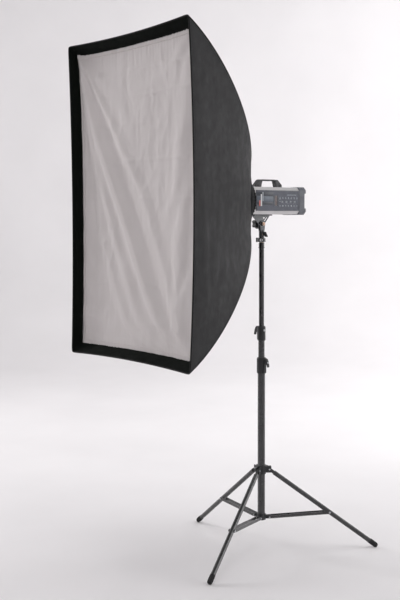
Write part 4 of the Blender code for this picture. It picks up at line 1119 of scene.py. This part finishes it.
def head_hardware():
    """Screws, handle bolts, seams and the fittings beside the mains inlet."""
    steel = bright_metal("screw_steel", (0.52, 0.53, 0.55), 0.26)
    black = bright_metal("blackened_steel", (0.05, 0.05, 0.052), 0.34)
    low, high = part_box("housing")
    rear_low, rear_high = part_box("rear_panel")
    grip_low, grip_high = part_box("handle")
    x = (low.x + high.x) / 2
    screws, bolts, grip, seam = Moulding(), Moulding(), Moulding(), Moulding()
    for side in (-1, 1):
        for y in (low.y + 0.018, high.y - 0.018):
            screws.socket_screw((x + side * 0.026, y, low.z), (0, 0, -1), 0.0034, 0.0013)
            screws.socket_screw((x + side * 0.034, y, high.z), (0, 0, 1), 0.0034, 0.0013)
    for at in (rear_low.x + 0.0075, rear_high.x - 0.0075):
        for z in (rear_low.z + 0.0075, rear_high.z - 0.0075):
            screws.socket_screw((at, rear_high.y, z), (0, 1, 0), 0.003, 0.0012)
    screws.piece("case_screws", steel, "flash_head", "housing")
    for y in (grip_low.y + 0.0125, grip_high.y - 0.0125):
        for at, way in ((grip_high.x, 1), (grip_low.x, -1)):
            bolts.socket_screw((at, y, grip_low.z + 0.0075), (way, 0, 0), 0.0046, 0.0014)
    bolts.piece("handle_bolts", black, "flash_head", "handle")
    for k in range(-6, 7):
        y = (grip_low.y + grip_high.y) / 2 + k * 0.0052
        grip.slab((grip_low.x + 0.002, y - 0.0012, grip_high.z - 0.0004),
                  (grip_high.x - 0.002, y + 0.0012, grip_high.z + 0.0006))
    grip.piece("handle_ribs", rubber_finish(), "flash_head", "handle")
    for y in (low.y, high.y):
        seam.slab((x - 0.036, y - 0.0005, low.z - 0.0004), (x + 0.036, y + 0.0005, low.z + 0.0006),
                  0.0002, 1)
    seam.piece("case_seams", black, "flash_head", "housing")
    inlet_low, inlet_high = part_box("mains_inlet")
    x = (inlet_high.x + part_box("power_switch")[0].x) / 2
    y, z = rear_high.y, (inlet_low.z + inlet_high.z) / 2
    fuse = Moulding().spun(((0.0062, -0.0004), (0.0062, 0.0022), (0.0052, 0.0034),
                            (0.0044, 0.0034), (0.004, 0.0028)), (x, y, z), (0, 1, 0), 30)
    fuse.slab((x - 0.0034, y + 0.0026, z - 0.0006), (x + 0.0034, y + 0.0038, z + 0.0006), 0.0002)
    fuse.piece("fuse_cap", moulded("fuse_black", (0.02, 0.02, 0.021), 0.4), "flash_head",
               "mains_inlet")
    sync = Moulding().washer((rear_high.x - 0.012, y, z), (0, 1, 0), 0.0052, 0.0032, 0.0026)
    sync.piece("sync_socket", steel, "flash_head", "mains_inlet")


SOCKET_BOLT_Z = 1.2712
SOCKET_RIM_Z = 1.263


def bracket_details():
    """Washers and screws about the tilt pivot, and the clamping screw on the socket."""
    bolt_low, bolt_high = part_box("pivot_bolt")
    fork_low, fork_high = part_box("bracket_fork")
    x, y = (fork_low.x + fork_high.x) / 2, (fork_low.y + fork_high.y) / 2
    pivot_z = (bolt_low.z + bolt_high.z) / 2
    copper = bright_metal("copper_washer", (0.52, 0.36, 0.27), 0.36)
    chrome = bright_metal("polished_steel", (0.6, 0.6, 0.61), 0.22)
    outward = (1, 0, 0)
    washer = Moulding().washer((bolt_high.x - 0.0012, y, pivot_z), outward, 0.007, 0.0048, 0.0016)
    washer.piece("pivot_washer", copper, "swivel", "spigot")
    head = Moulding().spun(((0.0046, 0.0), (0.0046, 0.0016), (0.0038, 0.0022), (0.0024, 0.0022),
                            (0.002, 0.0012, "hex")), (bolt_high.x - 0.0001, y, pivot_z), outward)
    head.piece("pivot_screw", copper, "swivel", "pivot_bolt")
    way = Vector((1, -1, 0)).normalized()
    reach = (fork_high.x - fork_low.x) / 2
    bolt = Moulding().socket_screw(Vector((x, y, SOCKET_BOLT_Z)) + way * (reach - 0.0008), way,
                                   0.0062, 0.0052)
    bolt.piece("socket_bolt", chrome, "swivel", "pivot_bolt")
    rim = Moulding().ring((x, y, SOCKET_RIM_Z), (0, 0, 1), reach, 0.0007, 48)
    rim.piece("socket_rim", chrome, "swivel", "pivot_bolt")
    stud_low, stud_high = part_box("spigot_screw")
    washer = Moulding().washer((stud_low.x + 0.001, y, (stud_low.z + stud_high.z) / 2), outward,
                               0.005, 0.0034, 0.0016)
    washer.piece("spigot_washer", copper, "swivel", "spigot")


# ---- stand -----------------------------------------------------------------------------

LEG_ANGLES = (176.4, 296.4, 56.4)
HINGE_R = 0.033
LEG_HINGE_Z, BRACE_HINGE_Z = 0.334, 0.137
LEG_LENGTH, LEG_LEAN = 0.547345, 0.936869
BRACE_SHARE = 0.563
KNOB_ANGLE = 116.4
LUG_SIDE = 0.0085                 # the outer faces of a leg's lug and of the brace's bars
BAR_SIDE = 0.014


def axis_of(name):
    """The upright line through the middle of a solid, as a point at floor height."""
    low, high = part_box(name)
    return Vector(((low.x + high.x) / 2, (low.y + high.y) / 2, 0))


def leg_details(number, angle, steel, rubber):
    """The rivets of one leg and its brace, and the ribs on its foot."""
    up = Vector((0, 0, 1))
    turn = math.radians(angle)
    out = Vector((math.cos(turn), math.sin(turn), 0))
    side = Vector((-math.sin(turn), math.cos(turn), 0))
    low_hinge = axis_of("column_tube") + out * HINGE_R + up * BRACE_HINGE_Z
    hinge = low_hinge + up * (LEG_HINGE_Z - BRACE_HINGE_Z)
    down = out * math.sin(LEG_LEAN) - up * math.cos(LEG_LEAN)
    joint = hinge + down * LEG_LENGTH * BRACE_SHARE
    pins, brace_pins, ribs = Moulding(), Moulding(), Moulding()
    for way in (side, -side):
        pins.rivet(hinge + way * LUG_SIDE, way, 0.0036, 0.0016)
        brace_pins.rivet(low_hinge + way * BAR_SIDE, way, 0.0036, 0.0016)
        brace_pins.rivet(joint + way * BAR_SIDE, way, 0.0042, 0.0016)
    pins.piece(f"leg_rivets_{number}", steel, f"leg_{number}", "pivot_bolt")
    brace_pins.piece(f"brace_rivets_{number}", steel, f"brace_{number}", "pivot_bolt")
    for back in (0.006, 0.011, 0.016, 0.021):
        ribs.ring(hinge + down * (LEG_LENGTH - back), down, 0.0105, 0.0005, 32)
    ribs.piece(f"foot_ribs_{number}", rubber, f"leg_{number}", "foot_1")


def clamp_details(clamp, body, side, steel):
    """A clamp's screw head on its lever, the nut at its back and a bead round each end."""
    lever = f"{clamp}_lever"
    axis = axis_of("column_tube")
    low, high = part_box(lever)
    near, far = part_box(clamp)
    level = far.z - 0.016
    end = (high.x if side > 0 else low.x) - side * 0.0041
    head = Moulding().socket_screw((end, axis.y, level - 0.0025), (side * 0.958, 0, 0.287), 0.003,
                                   0.0012)
    head.piece(f"{lever}_screw", steel, lever, "pivot_bolt")
    back = near.x if side > 0 else far.x
    nut = Moulding().spun(((0.0052, -0.003, "hex"), (0.0052, 0.002, "hex"), (0.0044, 0.0026),
                           (0.002, 0.0026)), (back, axis.y, level), (-side, 0, 0))
    nut.piece(f"{clamp}_nut", steel, body, "pivot_bolt")
    rims = Moulding()
    for z in (near.z + 0.0012, far.z - 0.0012):
        ends = [v.co for v in NODES[clamp].data.vertices if abs(v.co.z - z) < 0.0025]
        reach = min(math.hypot(v.x - axis.x, v.y - axis.y) for v in ends) + 0.0018
        rims.ring((axis.x, axis.y, z), (0, 0, 1), reach, 0.0009, 48)
    rims.piece(f"{clamp}_rims", moulded(f"{clamp}_bead", (0.03, 0.031, 0.033), 0.4), body, clamp)


def stand_details():
    """Rivets at every joint of the legs, ribs on the feet and screws in the clamps."""
    steel = bright_metal("rivet_steel", (0.46, 0.47, 0.49), 0.28)
    rubber = rubber_finish()
    for number, angle in enumerate(LEG_ANGLES, 1):
        leg_details(number, angle, steel, rubber)
    clamp_details("lower_clamp", "column", 1, steel)
    clamp_details("upper_clamp", "middle_section", -1, steel)
    axis = axis_of("column_tube")
    turn = math.radians(KNOB_ANGLE)
    way = Vector((math.cos(turn), math.sin(turn), 0))
    reach = max((v.co - axis) @ way for v in NODES["collar_knob"].data.vertices)
    cap = Moulding().socket_screw(axis + Vector((0, 0, LEG_HINGE_Z)) + way * reach, way, 0.004,
                                  0.0012)
    cap.piece("collar_knob_screw", steel, "collar_knob", "pivot_bolt")


# ---- the whole -------------------------------------------------------------------------

camera()
studio()
shell_points = shell()
lip()
trims(shell_points)
diffuser()
inner_baffle()
rear_collar()
dress_frame()
side_panel_details()
plain_side_details()
head_hardware()
bracket_details()
stand_details()
